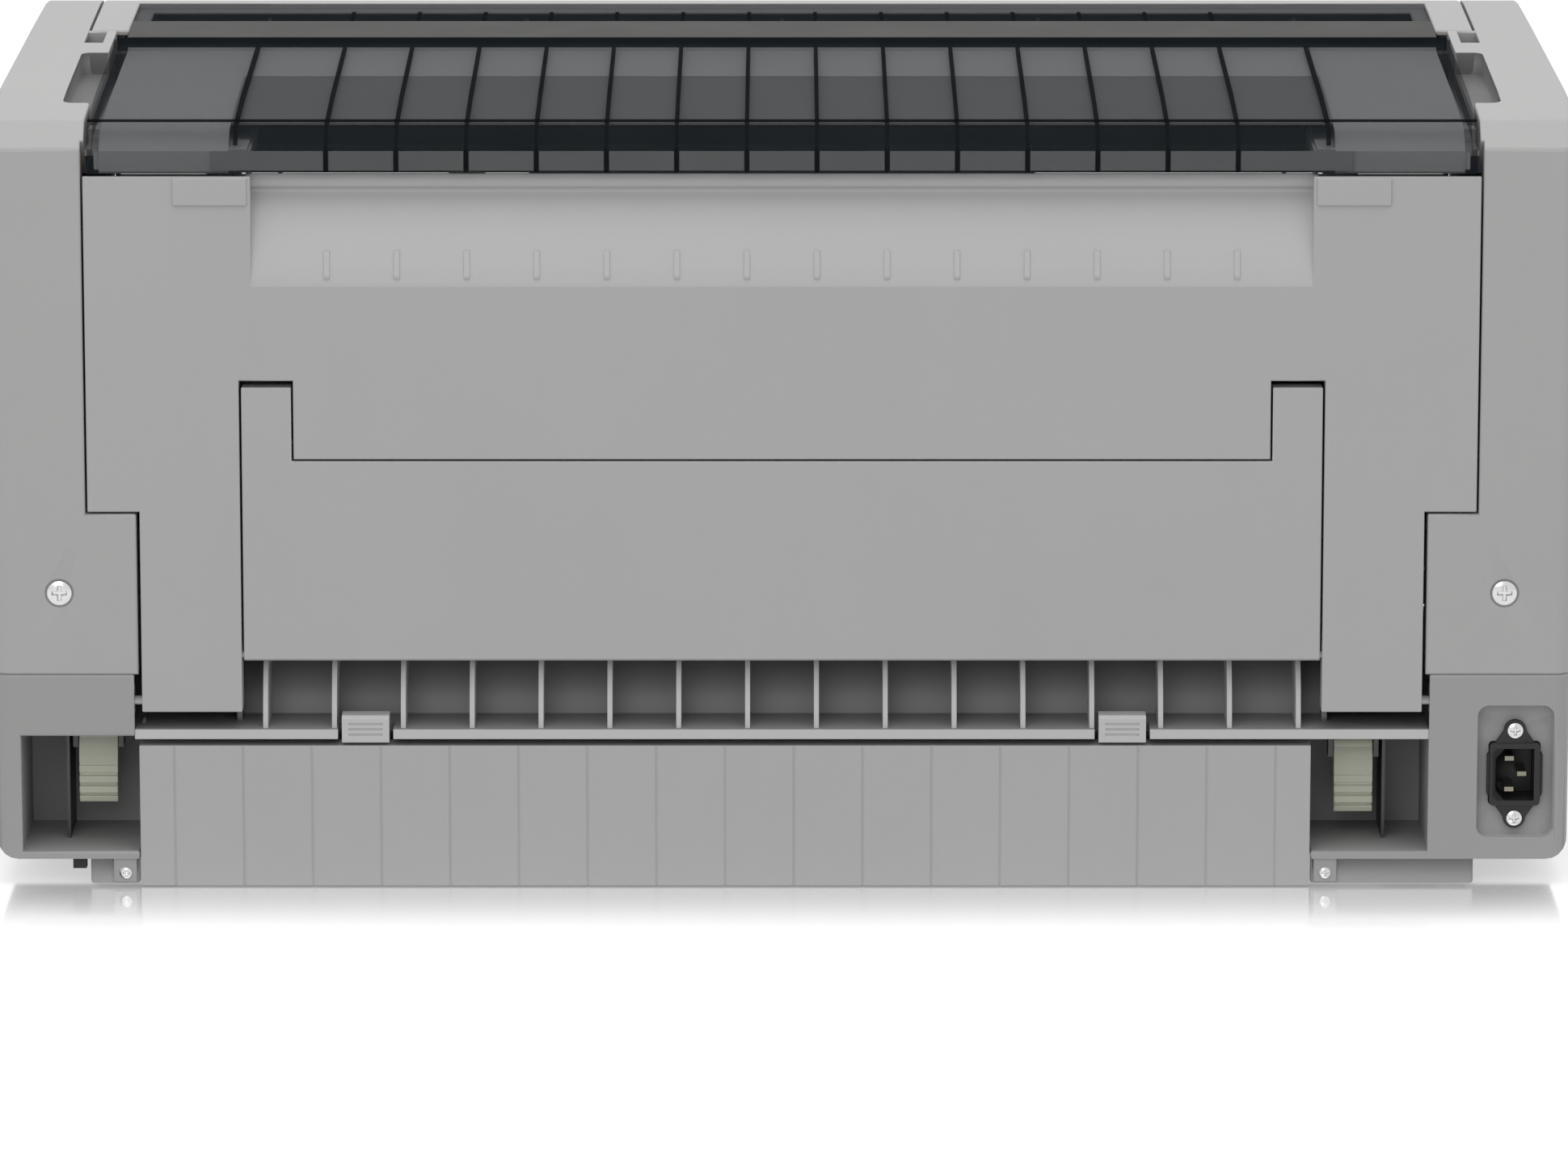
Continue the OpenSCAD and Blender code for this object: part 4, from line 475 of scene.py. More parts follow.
class Finish(Enum):
    """Finishes; those that carry the name of a material slot of the record dress its nodes."""

    HOUSING = Moulded("housing_grey", grey(166, 0.004))
    BASE = Moulded("base_grey", grey(152, 0.004))
    COVER = Moulded("cover_grey", grey(168, 0.002))
    GUIDES = Moulded("guide_grey", grey(184, 0.0))
    BOTTOM = Moulded("bottom_grey", grey(168, 0.0))
    # Painted light: the rear cover's scoop, paler than the cover's own grey, for its slope that faces up.
    SCOOP_LIGHT = Moulded("scoop_painted_light", grey(177, 0.0))
    # Painted light: a pale grey for the frame under the smoked cover, brighter than its plastic, making up
    # for light the cover holds back.
    INSIDE_LIGHT = Moulded("inside_painted_light", grey(205, 0.0))
    # Painted light: a pale grey for the shelf that shows through the smoked cover.
    SHELF_LIGHT = Moulded("shelf_painted_light", grey(197, -0.01))
    # Painted shade for hollows where little light reaches: the paper slot's inside and the shelf's strip by
    # the throat.
    SHADE = Moulded("hollow_painted_shade", grey(139, 0.0))
    # Painted shade for the finger notches in the housings' tops.
    NOTCH_SHADE = Moulded("notch_painted_shade", grey(108, 0.0))
    LENS = Moulded("lens_green", (0.035, 0.30, 0.07), roughness=0.12, depth=0.000002,
                   mottle=0.01, dust=0.02)
    BAR = Moulded("bar_grey", grey(92, 0.01), dust=0.3, gloss=0.0)
    GUIDE = Moulded("guide_black", grey(63, -0.03), roughness=0.42)
    PANEL = Moulded("panel_dark", grey(93, -0.03), roughness=0.5)
    DISPLAY = Moulded("display_green", grey(44, -0.2), roughness=0.12, depth=0.000004,
                      mottle=0.01, dust=0.02)
    KEY = Moulded("key_grey", grey(198, 0.01), roughness=0.5, grain=0.0004)
    BEIGE = Moulded("beige_plastic", (0.54, 0.56, 0.455), roughness=0.5, dust=0.2)
    BLACK = Moulded("black_plastic", grey(34), roughness=0.38, mottle=0.06)
    NYLON = Moulded("nylon_white", grey(206, 0.03), roughness=0.4, grain=0.0004)
    SMOKE = Smoked("smoked_plastic", (0.020, 0.026, 0.030), 0.33, fold=0.1784)
    SMOKE_EDGE = Smoked("smoked_edge", (0.006, 0.007, 0.008), 0.95, 0.5)
    SHEET = Metal("sheet_steel", grey(190), 0.42)
    SCREEN = Metal("blackened_steel", grey(84), 0.5)
    BRIGHT = Metal("bright_steel", grey(212), 0.20, (30.0, 1.0, 1.0), 0.0006, 0.05)
    ALUMINIUM = Metal("supply_aluminium", grey(186), 0.45, (1.0, 30.0, 1.0))
    BRASS = Metal("pin_brass", (0.26, 0.245, 0.20), 0.36, (1.0, 20.0, 1.0), 0.0004)
    CAN = Moulded("motor_black", grey(42), roughness=0.3, mottle=0.05)
    RUBBER = Soft("black_rubber", grey(31))
    BOARD = Board("board_green", (0.02, 0.10, 0.045))

    def material(self) -> bpy.types.Material:
        """The finish's material, which is made once.

        Returns:
            The material.
        """
        if self.name not in MADE:
            MADE[self.name] = self.value.material()
        return MADE[self.name]


MADE: dict[str, bpy.types.Material] = {}


# ---------------------------------------------------------------- meshes


BODY_OF = {node: body for body, nodes in frame["record"]["behaviour"]["bodies"].items() for node in nodes}
SLOT_OF = {part["node"]: part["material_slot"] for part in frame["record"]["subparts"]}
SLOTS = {finish.value.name: finish for finish in Finish}


def skinned(name: str, rings: np.ndarray) -> bpy.types.Mesh:
    """Skins closed rings of points that lie one after another, and caps both ends.

    The face between rings i and i + 1 and points j and j + 1 is the quad of those four points.

    Args:
        name: The mesh's name.
        rings: Points as an array of rings by points by 3.

    Returns:
        The mesh, with its faces pointing outwards.
    """
    n, m, _ = rings.shape
    i, j = np.meshgrid(np.arange(n - 1), np.arange(m), indexing="ij")
    h, k = i + 1, (j + 1) % m
    faces = np.stack([i * m + j, i * m + k, h * m + k, h * m + j], -1).reshape(-1, 4).tolist()
    faces += [list(range(m)), list(range((n - 1) * m, n * m))]
    mesh = bpy.data.meshes.new(name)
    mesh.from_pydata(rings.reshape(-1, 3).tolist(), [], faces)
    face_out(mesh)
    return mesh


def bar_x(name: str, outline: np.ndarray, x0: float, x1: float) -> bpy.types.Mesh:
    """A bar along X: an outline of depths and heights, carried from x0 to x1."""
    ends = [np.column_stack([np.full(len(outline), x), outline]) for x in (x0, x1)]
    return skinned(name, np.stack(ends))


def turned(name: str, profile: np.ndarray, centre: Vector, axis: int, steps: int) -> bpy.types.Mesh:
    """A solid of revolution.

    A point of the profile at radius r and place p goes round the axis as (r cos t, r sin t) at p.

    Args:
        name: The mesh's name.
        profile: Rows of a radius and a place along the axis.
        centre: The point that the profile's places are measured from.
        axis: The axis's index.
        steps: Number of points round it.

    Returns:
        The mesh.
    """
    angle = np.linspace(0, math.tau, steps, endpoint=False)
    rings = np.zeros((len(profile), steps, 3))
    rings[:, :, (axis + 1) % 3] = profile[:, :1] * np.cos(angle)
    rings[:, :, (axis + 2) % 3] = profile[:, :1] * np.sin(angle)
    rings[:, :, axis] = profile[:, 1:2]
    return skinned(name, rings + np.array(centre))


def face_out(mesh: bpy.types.Mesh) -> None:
    """Merges a new mesh's doubles and turns its faces outwards.

    Args:
        mesh: The mesh.
    """
    work = bmesh.new()
    work.from_mesh(mesh)
    bmesh.ops.remove_doubles(work, verts=work.verts, dist=SAME_POINT)
    bmesh.ops.recalc_face_normals(work, faces=work.faces)
    work.to_mesh(mesh)
    work.free()


def smooth(mesh: bpy.types.Mesh, angle: float) -> None:
    """Shades a mesh smooth, except across edges sharper than angle in degrees."""
    mesh.polygons.foreach_set("use_smooth", np.ones(len(mesh.polygons), bool))
    mesh.set_sharp_from_angle(angle=math.radians(angle))


def join_meshes(name: str, meshes: list[bpy.types.Mesh]) -> bpy.types.Mesh:
    """Joins meshes in order.

    Args:
        name: The joined mesh's name.
        meshes: The meshes, which stay as they are.

    Returns:
        The joined mesh.
    """
    work = bmesh.new()
    for mesh in meshes:
        work.from_mesh(mesh)
    joined = bpy.data.meshes.new(name)
    work.to_mesh(joined)
    work.free()
    return joined


@dataclass
class Piece:
    """A piece that Blender adds, with the body that it rides on and the nodes that it stands for."""

    name: str
    mesh: bpy.types.Mesh
    finish: Finish
    body: str
    stands_for: tuple[str, ...] = ()
    bevel: float = 0.0
    bend: float = 32.0
    slot: str = ""
    steps: int = 2
    face_weight: int = 100

    def place(self) -> bpy.types.Object:
        """Links the piece, gives it its finish and its rounded edges, and hands it to its body.

        Returns:
            The piece's object.
        """
        piece = bpy.data.objects.new(self.name, self.mesh)
        bpy.context.scene.collection.objects.link(piece)
        self.mesh.materials.clear()
        self.mesh.materials.append(self.finish.material())
        smooth(self.mesh, self.bend)
        if self.bevel > 0:
            edge = piece.modifiers.new("rounded_edges", "BEVEL")
            edge.width = self.bevel
            edge.segments = self.steps
            edge.limit_method = "WEIGHT"
            edge.use_clamp_overlap = False
            flat = piece.modifiers.new("flat_faces", "WEIGHTED_NORMAL")
            flat.mode = "FACE_AREA"
            flat.weight = self.face_weight
            flat.keep_sharp = True
        if self.stands_for:
            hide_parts(*self.stands_for)
        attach(piece, self.body)
        log.info("%s rides on %s", self.name, self.body)
        return piece


@dataclass
class Edges:
    """Readies a mesh of merged triangles for a Bevel: joins its flat faces and weighs its sharp edges.

    Angles are in degrees: an edge is sharp past bend, two faces are flat below flat, and a run of edges goes
    straight on below straight.
    """

    work: bmesh.types.BMesh
    width: float
    bend: float = 32.0
    flat: float = 0.3
    share: float = 0.45
    least: float = 0.12
    straight: float = 35.0

    def region(self, start: bmesh.types.BMFace) -> set[bmesh.types.BMFace]:
        """Finds the faces that lie in one plane with a face, by a flood across edges that hardly turn.

        Args:
            start: The face.

        Returns:
            The faces, with the first one.
        """
        found, edge_of = {start}, [start]
        while edge_of:
            for edge in edge_of.pop().edges:
                if len(edge.link_faces) == 2 and edge.calc_face_angle() < math.radians(self.flat):
                    fresh = [face for face in edge.link_faces if face not in found]
                    found.update(fresh)
                    edge_of += fresh
        return found

    def rims(self, region: set[bmesh.types.BMFace]) -> list[set[bmesh.types.BMVert]]:
        """Finds the closed lines round a region.

        Args:
            region: Faces in one plane.

        Returns:
            The points of each line, with the widest line first.
        """
        rim = [edge for face in region for edge in face.edges
               if not all(other in region for other in edge.link_faces)]
        ties: dict[bmesh.types.BMVert, list[bmesh.types.BMVert]] = {}
        for edge in rim:
            a, b = edge.verts
            ties.setdefault(a, []).append(b)
            ties.setdefault(b, []).append(a)
        lines = []
        while ties:
            line, ahead = set(), [next(iter(ties))]
            while ahead:
                point = ahead.pop()
                if point in ties:
                    line.add(point)
                    ahead += ties.pop(point)
            lines.append(line)
        return sorted(lines, key=lambda line: -sum(np.ptp([point.co for point in line], axis=0)))

    def join_flats(self) -> None:
        """Joins the faces of each flat region, and keeps the edges that tie a hole in it to the rest."""
        in_hole = self.work.verts.layers.int.new("in_hole")
        left = set(self.work.faces)
        while left:
            region = self.region(next(iter(left)))
            left -= region
            holes = set().union(*self.rims(region)[1:])
            for point in holes:
                point[in_hole] = 1
            for edge in {edge for face in region for edge in face.edges}:
                if holes and all(face in region for face in edge.link_faces) and (set(edge.verts) & holes):
                    edge.seam = True
        bmesh.ops.dissolve_limit(self.work, angle_limit=math.radians(self.flat), verts=self.work.verts,
                                 edges=self.work.edges, delimit={"SEAM"})

    def sharp(self, edge: bmesh.types.BMEdge) -> bool:
        """Whether an edge turns outwards by more than the bend and isn't the rim of a hole."""
        in_hole = self.work.verts.layers.int["in_hole"]
        return (len(edge.link_faces) == 2 and edge.is_convex
                and not all(point[in_hole] for point in edge.verts)
                and edge.calc_face_angle() > math.radians(self.bend))

    def runs_on(self, edge: bmesh.types.BMEdge) -> list[tuple[bmesh.types.BMEdge, float]]:
        """Finds the sharp edges that carry an edge on.

        Args:
            edge: A sharp edge.

        Returns:
            Each of them, with the angle by which it turns.
        """
        line = (edge.verts[1].co - edge.verts[0].co).normalized()
        found = []
        for end, out in zip(edge.verts, (-line, line)):
            for other in end.link_edges:
                turn = (other.other_vert(end).co - end.co).angle(out, math.pi / 2)
                if other is not edge and turn < math.radians(self.straight) and self.sharp(other):
                    found.append((other, turn))
        return found

    def room(self, edge: bmesh.types.BMEdge, run: set[bmesh.types.BMEdge]) -> float:
        """Width that an edge of a run can be rounded by.

        Half-way to anything else on its two faces is free, less a margin. Where the run bends by an angle t,
        the edge's length has to outlast the width times tan(t / 2) at each end.

        Args:
            edge: A sharp edge.
            run: The sharp edges that carry it on, and itself.

        Returns:
            The width in metres.
        """
        def gap(point: bmesh.types.BMVert, line: bmesh.types.BMEdge) -> float:
            """Measures how far a point is from an edge.

            Args:
                point: The point.
                line: The edge.

            Returns:
                The distance.
            """
            a, b = (end.co for end in line.verts)
            foot, along = intersect_point_line(point.co, a, b)
            return (point.co - (a if along < 0 else b if along > 1 else foot)).length
        own = {point for other in run for point in other.verts}
        near = [math.inf]
        for face in edge.link_faces:
            near += [gap(point, edge) for point in face.verts if point not in own]
            near += [gap(end, other) for other in face.edges if other not in run
                     for end in edge.verts if end not in other.verts]
        bends = sum(math.tan(turn / 2) for _, turn in self.runs_on(edge)) + 1e-6
        return self.share * min(min(near), 2 * edge.calc_length() / bends)

    def weigh(self) -> None:
        """Gives each run of sharp edges the share of the full width that all of it has room for."""
        layer = self.work.edges.layers.float.new("bevel_weight_edge")
        left = {edge for edge in self.work.edges if self.sharp(edge)}
        while left:
            run, ahead = set(), [next(iter(left))]
            while ahead:
                edge = ahead.pop()
                if edge in left:
                    left.discard(edge)
                    run.add(edge)
                    ahead += [other for other, _ in self.runs_on(edge)]
            weight = min(1.0, min(self.room(edge, run) for edge in run) / self.width)
            for edge in run:
                edge[layer] = weight if weight > self.least else 0.0
        for edge in self.work.edges:
            edge.seam = False
        self.work.verts.layers.int.remove(self.work.verts.layers.int["in_hole"])


def softened(node: str, bevel: float, finish: Finish | None = None) -> bpy.types.Object:
    """A copy of a CAD node whose edges are rounded as a moulding's are.

    Args:
        node: The CAD node that the copy stands for.
        bevel: Width of the rounded edge where there is room for it.
        finish: Its finish, or None for that of the record's slot.

    Returns:
        The new piece.
    """
    mesh = frame["nodes"][node].data.copy()
    mesh.name = f"{node}_moulded"
    work = bmesh.new()
    work.from_mesh(mesh)
    bmesh.ops.remove_doubles(work, verts=work.verts, dist=2 * SAME_POINT)
    bmesh.ops.dissolve_degenerate(work, dist=2 * SAME_POINT, edges=work.edges)
    edges = Edges(work, bevel)
    edges.join_flats()
    edges.weigh()
    work.to_mesh(mesh)
    work.free()
    return Piece(f"{node}_moulded", mesh, finish or SLOTS[SLOT_OF[node]], BODY_OF[node], (node,), bevel,
                 slot=SLOT_OF[node]).place()


def refinish(piece: bpy.types.Object, finish: Finish, chosen: Callable[[np.ndarray], bool]) -> None:
    """Gives another finish to some faces of a piece.

    Args:
        piece: The piece.
        finish: The finish.
        chosen: Says whether a face takes it, from the face's points as rows of an array.
    """
    mesh = piece.data
    mesh.materials.append(finish.material())
    points = np.zeros(len(mesh.vertices) * 3)
    mesh.vertices.foreach_get("co", points)
    points = points.reshape(-1, 3)
    for face in mesh.polygons:
        if chosen(points[list(face.vertices)]):
            face.material_index = len(mesh.materials) - 1


def dress(node: str, finish: Finish | None = None) -> None:
    """Gives a CAD node a finish.

    Args:
        node: The node's name.
        finish: The finish, or None for that of the record's slot.
    """
    piece = frame["nodes"][node]
    piece.data.materials.clear()
    piece.data.materials.append((finish or SLOTS[SLOT_OF[node]]).material())


# ---------------------------------------------------------------- the printer


@dataclass
class Casing:
    """Housings, base, panels and the paper slot: grey mouldings with rounded edges.

    notch_x, notch_y and notch_drop bound the finger notches, which take painted shade: distance from the
    middle, depth, and how far below the housing's top. scoop gives the scoop's half width and the height of
    its foot; the scoop takes painted light.
    """

    broad: float = 1.0 * MM
    narrow: float = 0.5 * MM
    broad_nodes: tuple[str, ...] = ("left_housing", "right_housing", "front_hood", "front_panel",
                                    "front_cover", "base_tray")
    narrow_nodes: tuple[str, ...] = ("rear_cover", "rear_flap", "hinge_bar", "left_lever", "right_lever",
                                     "control_panel", "load_key", "feed_key", "pause_key", "menu_key",
                                     "power_switch", "mains_inlet")
    guides: float = 0.25 * MM
    slot_depth: float = 9.0 * MM
    notch_y: tuple[float, float] = (22.0 * MM, 146.0 * MM)
    notch_x: tuple[float, float] = (306.2 * MM, 322.0 * MM)
    notch_drop: tuple[float, float] = (20.0 * MM, 6.0 * MM)
    scoop: tuple[float, float] = (234.5 * MM, 262.0 * MM)
    scoop_in: float = 0.05 * MM

    def in_notch(self, at: np.ndarray, crown: float) -> bool:
        """Whether a face lies in a finger notch.

        Args:
            at: The face's points.
            crown: Height of the housing's top.

        Returns:
            True for the notch's floor and walls.
        """
        across, depth, height = abs(at[:, 0]), at[:, 1], at[:, 2].mean()
        return (across.min() > self.notch_x[0] and across.max() < self.notch_x[1]
                and depth.min() > self.notch_y[0] and depth.max() < self.notch_y[1]
                and crown - self.notch_drop[0] < height < crown - self.notch_drop[1])

    def in_scoop(self, at: np.ndarray, rear: float) -> bool:
        """Whether a face lies in the rear cover's scoop.

        Args:
            at: The face's points.
            rear: Depth of the cover's face.

        Returns:
            True for the scoop's faces.
        """
        return (abs(at[:, 0]).max() < self.scoop[0] and at[:, 2].min() > self.scoop[1]
                and at[:, 1].mean() < rear - self.scoop_in)

    def build(self) -> None:
        """Rounds the edges of every moulding that shows.

        The paper slot's inside and the finger notches are darkened with painted shade, and the scoop is made
        paler with painted light.
        """
        pieces = {node: softened(node, self.broad) for node in self.broad_nodes}
        pieces |= {node: softened(node, self.narrow) for node in self.narrow_nodes}
        softened("bottom_guide_panel", self.guides, Finish.BOTTOM)
        softened("entry_ribs", self.guides, Finish.GUIDES)
        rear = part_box("left_housing")[1][1]
        # Painted shade: faces of the paper slot deeper than slot_depth take the darker grey.
        refinish(softened("paper_ramp", self.guides, Finish.GUIDES), Finish.SHADE,
                 lambda at: at[:, 1].mean() < rear - self.slot_depth)
        # The finger notches take painted shade.
        for node in ("left_housing", "right_housing"):
            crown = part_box(node)[1][2]
            refinish(pieces[node], Finish.NOTCH_SHADE, lambda at: self.in_notch(at, crown))
        # The scoop's faces take painted light.
        refinish(pieces["rear_cover"], Finish.SCOOP_LIGHT, lambda at: self.in_scoop(at, rear))


@dataclass
class SmokedCovers:
    """The smoked exit cover and the hood's window, and the surfaces that show through the cover.

    The skin's height at depth y is skin[0] + skin[1] y, and skin[2] (y - skin_bend) more past the bend.
    shelf_depth holds the depths of the shelf's near edge, of the start and the end of its part with painted
    shade, and of its far edge at the sides.
    """

    bevel: float = 0.3 * MM
    rib_width: float = 2.6 * MM
    fold_width: float = 1.7 * MM
    edge_strip: float = 8.0 * MM
    strip_low: float = 1.2 * MM
    strip_thick: float = 0.5 * MM
    wall: float = 2.3 * MM
    lip_height: float = 11.0 * MM
    ribs: int = 14
    rib_pitch: float = 30.8 * MM
    rib_half: float = 1.2 * MM
    skin: tuple[float, float, float] = (351.66 * MM, -0.02797, -0.0371)
    skin_bend: float = 120.0 * MM
    shelf_drop: float = 5.3 * MM
    kerb: float = 1.5 * MM
    low_kerb: float = 0.1 * MM
    shelf_thick: float = 1.0 * MM
    shelf_depth: tuple[float, float, float, float] = (-8.0 * MM, 57.0 * MM, 161.0 * MM, 173.0 * MM)
    shelf_x: tuple[float, float] = (243.0 * MM, 300.0 * MM)
    shelf_bend: list[tuple[float, float]] = field(default_factory=lambda: [(184.8 * MM, 331.5 * MM),
                                                                         (184.8 * MM, 322.5 * MM)])
    margin: float = 0.1 * MM
    frame_bevel: float = 0.25 * MM
    throat_in: float = 78.0 * MM
    throat_near: float = 1.5 * MM

    def build(self) -> None:
        """Dresses both sheets and makes what shows through the exit cover."""
        for node in ("exit_cover", "hood_window"):
            self.darken(softened(node, self.bevel))
        self.lining()
        self.shelf()
        self.throat()

    def darken(self, sheet: bpy.types.Object) -> None:
        """Gives the narrow faces of a sheet, which are its ribs, fold and edges, the dark finish.

        Args:
            sheet: The sheet's piece.
        """
        mesh = sheet.data
        mesh.materials.append(Finish.SMOKE_EDGE.material())
        reach = max(abs(v.co.x) for v in mesh.vertices) - self.edge_strip
        for face in mesh.polygons:
            spots = np.array([mesh.vertices[i].co for i in face.vertices])
            across, depth, height = np.ptp(spots, axis=0)
            inside = abs(face.center.x) < reach
            rib = inside and across < self.rib_width
            fold = across > reach and math.hypot(depth, height) < self.fold_width
            if rib or fold:
                face.material_index = len(mesh.materials) - 1

    def lining(self) -> None:
        """Pale strips behind the lip's upright part, between its ribs and as wide as the throat."""
        low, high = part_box("exit_cover")
        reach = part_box("exit_guide")[1][0]
        y1 = high[1] - self.wall
        z0, z1 = low[2] + self.strip_low, low[2] + self.lip_height - self.strip_low
        outline = np.array([[y1 - self.strip_thick, z0], [y1, z0], [y1, z1], [y1 - self.strip_thick, z1]])
        ribs = (np.arange(self.ribs) - (self.ribs - 1) / 2) * self.rib_pitch
        starts = np.concatenate([[-reach], ribs + self.rib_half])
        ends = np.concatenate([ribs - self.rib_half, [reach]])
        strips = [bar_x("strip", outline, a, b) for a, b in zip(starts, ends) if b - a > 2 * self.rib_half]
        Piece("lip_lining", join_meshes("lip_lining", strips), Finish.COVER, BODY_OF["exit_cover"]).place()

    def shelf_top(self, y: float) -> float:
        """Height of the shelf's top at a depth, evenly below the skin."""
        return self.skin[0] + self.skin[1] * y + self.skin[2] * max(0.0, y - self.skin_bend) - self.shelf_drop

    def strip(self, depths: tuple[float, float], sides: tuple[float, float], kerb: float,
              bend: list[tuple[float, float]]) -> bpy.types.Mesh:
        """A strip of the shelf: an outline of depths and heights that is carried along X.

        Args:
            depths: Where it starts, with a kerb on it, and where it ends.
            sides: Its ends across the printer.
            kerb: The kerb's height.
            bend: Depths and heights of the points that it is carried on through.

        Returns:
            The strip's mesh.
        """
        y0, y1 = depths
        thick = self.shelf_thick
        flat = [y0] + [y for y in (self.skin_bend,) if y0 < y < y1] + [y1]
        top = [(y, self.shelf_top(y)) for y in flat] + bend
        under = [(y - thick * (i >= len(flat)), z - thick) for i, (y, z) in enumerate(top)]
        edge = top[0][1] + kerb
        stand = [(y0, edge), (y0 + thick, edge), (y0 + thick, top[0][1])]
        return bar_x("strip", np.array(stand + top[1:] + under[::-1]), *sides)

    def shelf(self) -> None:
        """A thin shelf close under the exit cover, which shows through it.

        Its pale grey is painted light, and near the throat it takes painted shade; at both sides of the
        throat it runs down into the lip.
        """
        near, middle, throat, deep = self.shelf_depth
        inner, outer = self.shelf_x
        parts = [self.strip((near, middle), (-inner, inner), self.kerb, []),
                 self.strip((middle, throat), (-inner, inner), self.low_kerb, [])]
        parts += [self.strip((near, deep), sides, self.kerb, self.shelf_bend)
                  for sides in ((-outer, -inner), (inner, outer))]
        shelf = Piece("cover_shelf", join_meshes("cover_shelf", parts), Finish.SHELF_LIGHT,
                      BODY_OF["upper_frame"], slot="cover_grey").place()
        # Painted shade: the shelf's middle strip by the throat takes the darker grey.
        refinish(shelf, Finish.SHADE, lambda at: at[:, 1].min() > middle - self.margin
                 and abs(at[:, 0]).max() < inner + self.margin)

    def throat(self) -> None:
        """Gives the frame under the cover its finish, dark where it faces the throat."""
        # The frame under the cover takes a pale grey of painted light.
        frame_top = softened("upper_frame", self.frame_bevel, Finish.INSIDE_LIGHT)
        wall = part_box("left_housing")[1][1] - self.throat_in
        # Painted shade: the frame's faces at the throat's wall take black.
        refinish(frame_top, Finish.BLACK, lambda at: abs(at[:, 1].mean() - wall) < self.throat_near
                 and abs(at[:, 0]).max() < self.shelf_x[0])


@dataclass
class Screw:
    """A cross-recessed screw that points along -Y.

    Its head is a polar grid whose height falls as 1 - fall (r / radius) ** curve. The cross is cut where the
    smaller coordinate is within half_width and the larger one within arm. These, and the width of the slopes
    at the cross's sides and ends, are shares of the radius.
    """

    radius: float
    height: float
    shank: float
    length: float
    fall: float = 0.45
    curve: float = 2.4
    half_width: float = 0.17
    slope: float = 0.05
    arm: float = 0.62
    end_slope: float = 0.10
    cut: float = 0.8
    tip: float = 0.4
    pole: float = 0.02
    around: int = 72

    def mesh(self, x: float, y: float, z: float) -> bpy.types.Mesh:
        """Makes the screw.

        Args:
            x: Place of its axis across the printer.
            y: Depth of the face that its head sits on.
            z: Height of its axis.

        Returns:
            The screw's mesh.
        """
        radius, height, shank = self.radius, self.height, self.shank
        turn = np.linspace(0, math.tau, self.around, endpoint=False)
        share = np.concatenate([[0.01], np.linspace(0.06, 0.94, 16), [0.985, 1.0]])
        r, t = np.meshgrid(share * radius, turn, indexing="ij")
        u, w = r * np.cos(t), r * np.sin(t)
        top = height * (1 - self.fall * (r / radius) ** self.curve)
        near, far = np.minimum(abs(u), abs(w)), np.maximum(abs(u), abs(w))
        across = np.clip((self.half_width * radius - near) / (self.slope * radius), 0, 1)
        along = np.clip((self.arm * radius - far) / (self.end_slope * radius), 0, 1)
        top = top - across * along * height * self.cut
        below = [(radius, 0.0), (shank, 0.0), (shank, -self.length),
                 (self.pole * radius, -self.length - self.tip * shank)]
        rings = [np.stack([u, top, w], -1)]
        for q, h in below:
            rings.append(np.stack([q * np.cos(turn), np.full_like(turn, h), q * np.sin(turn)], -1)[None])
        return skinned("screw", np.concatenate(rings) + np.array([x, y, z]))


@dataclass
class Screws:
    """The six screws: two hold the side housings, two the mains inlet and two the guide panel's clips."""

    housing: tuple[float, float] = (320 * MM, 134 * MM)
    housing_sunk: float = 1.2 * MM
    inlet: tuple[float, float] = (-326 * MM, 51 * MM)
    inlet_sunk: float = 1.4 * MM
    inlet_pitch: float = 40 * MM
    clips: tuple[float, float] = (292.1 * MM, -242.0 * MM)
    clip_z: float = 6.5 * MM
    clip_seat: float = 188.2 * MM
    large: Screw = field(default_factory=lambda: Screw(5.4 * MM, 1.8 * MM, 2.5 * MM, 10 * MM))
    middle: Screw = field(default_factory=lambda: Screw(3.4 * MM, 1.6 * MM, 1.4 * MM, 6 * MM))
    small: Screw = field(default_factory=lambda: Screw(2.4 * MM, 1.2 * MM, 1.2 * MM, 4 * MM))
    bend: float = 28.0

    def build(self) -> None:
        """Places the screws, and reports where the CAD's own ones reach."""
        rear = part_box("left_housing")[1][1]
        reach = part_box("screws")
        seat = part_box("mains_inlet")[1][1] - self.inlet_sunk
        x, z = self.housing
        parts = [self.large.mesh(side * x, rear - self.housing_sunk, z) for side in (-1, 1)]
        x, z = self.inlet
        parts += [self.middle.mesh(x, seat, z + side * self.inlet_pitch / 2) for side in (-1, 1)]
        parts += [self.small.mesh(x, self.clip_seat, self.clip_z) for x in self.clips]
        log.info("screws reach from %s to %s", tuple(reach[0]), tuple(reach[1]))
        Piece("cross_head_screws", join_meshes("cross_head_screws", parts), Finish.BRIGHT,
              BODY_OF["screws"], ("screws",), bend=self.bend).place()


def box_outline(x: float, z: float, half_x: float, half_z: float) -> list[tuple[float, float]]:
    """The corners of an upright rectangle round (x, z)."""
    turns = ((-1, -1), (1, -1), (1, 1), (-1, 1))
    return [(x + a * half_x, z + b * half_z) for a, b in turns]


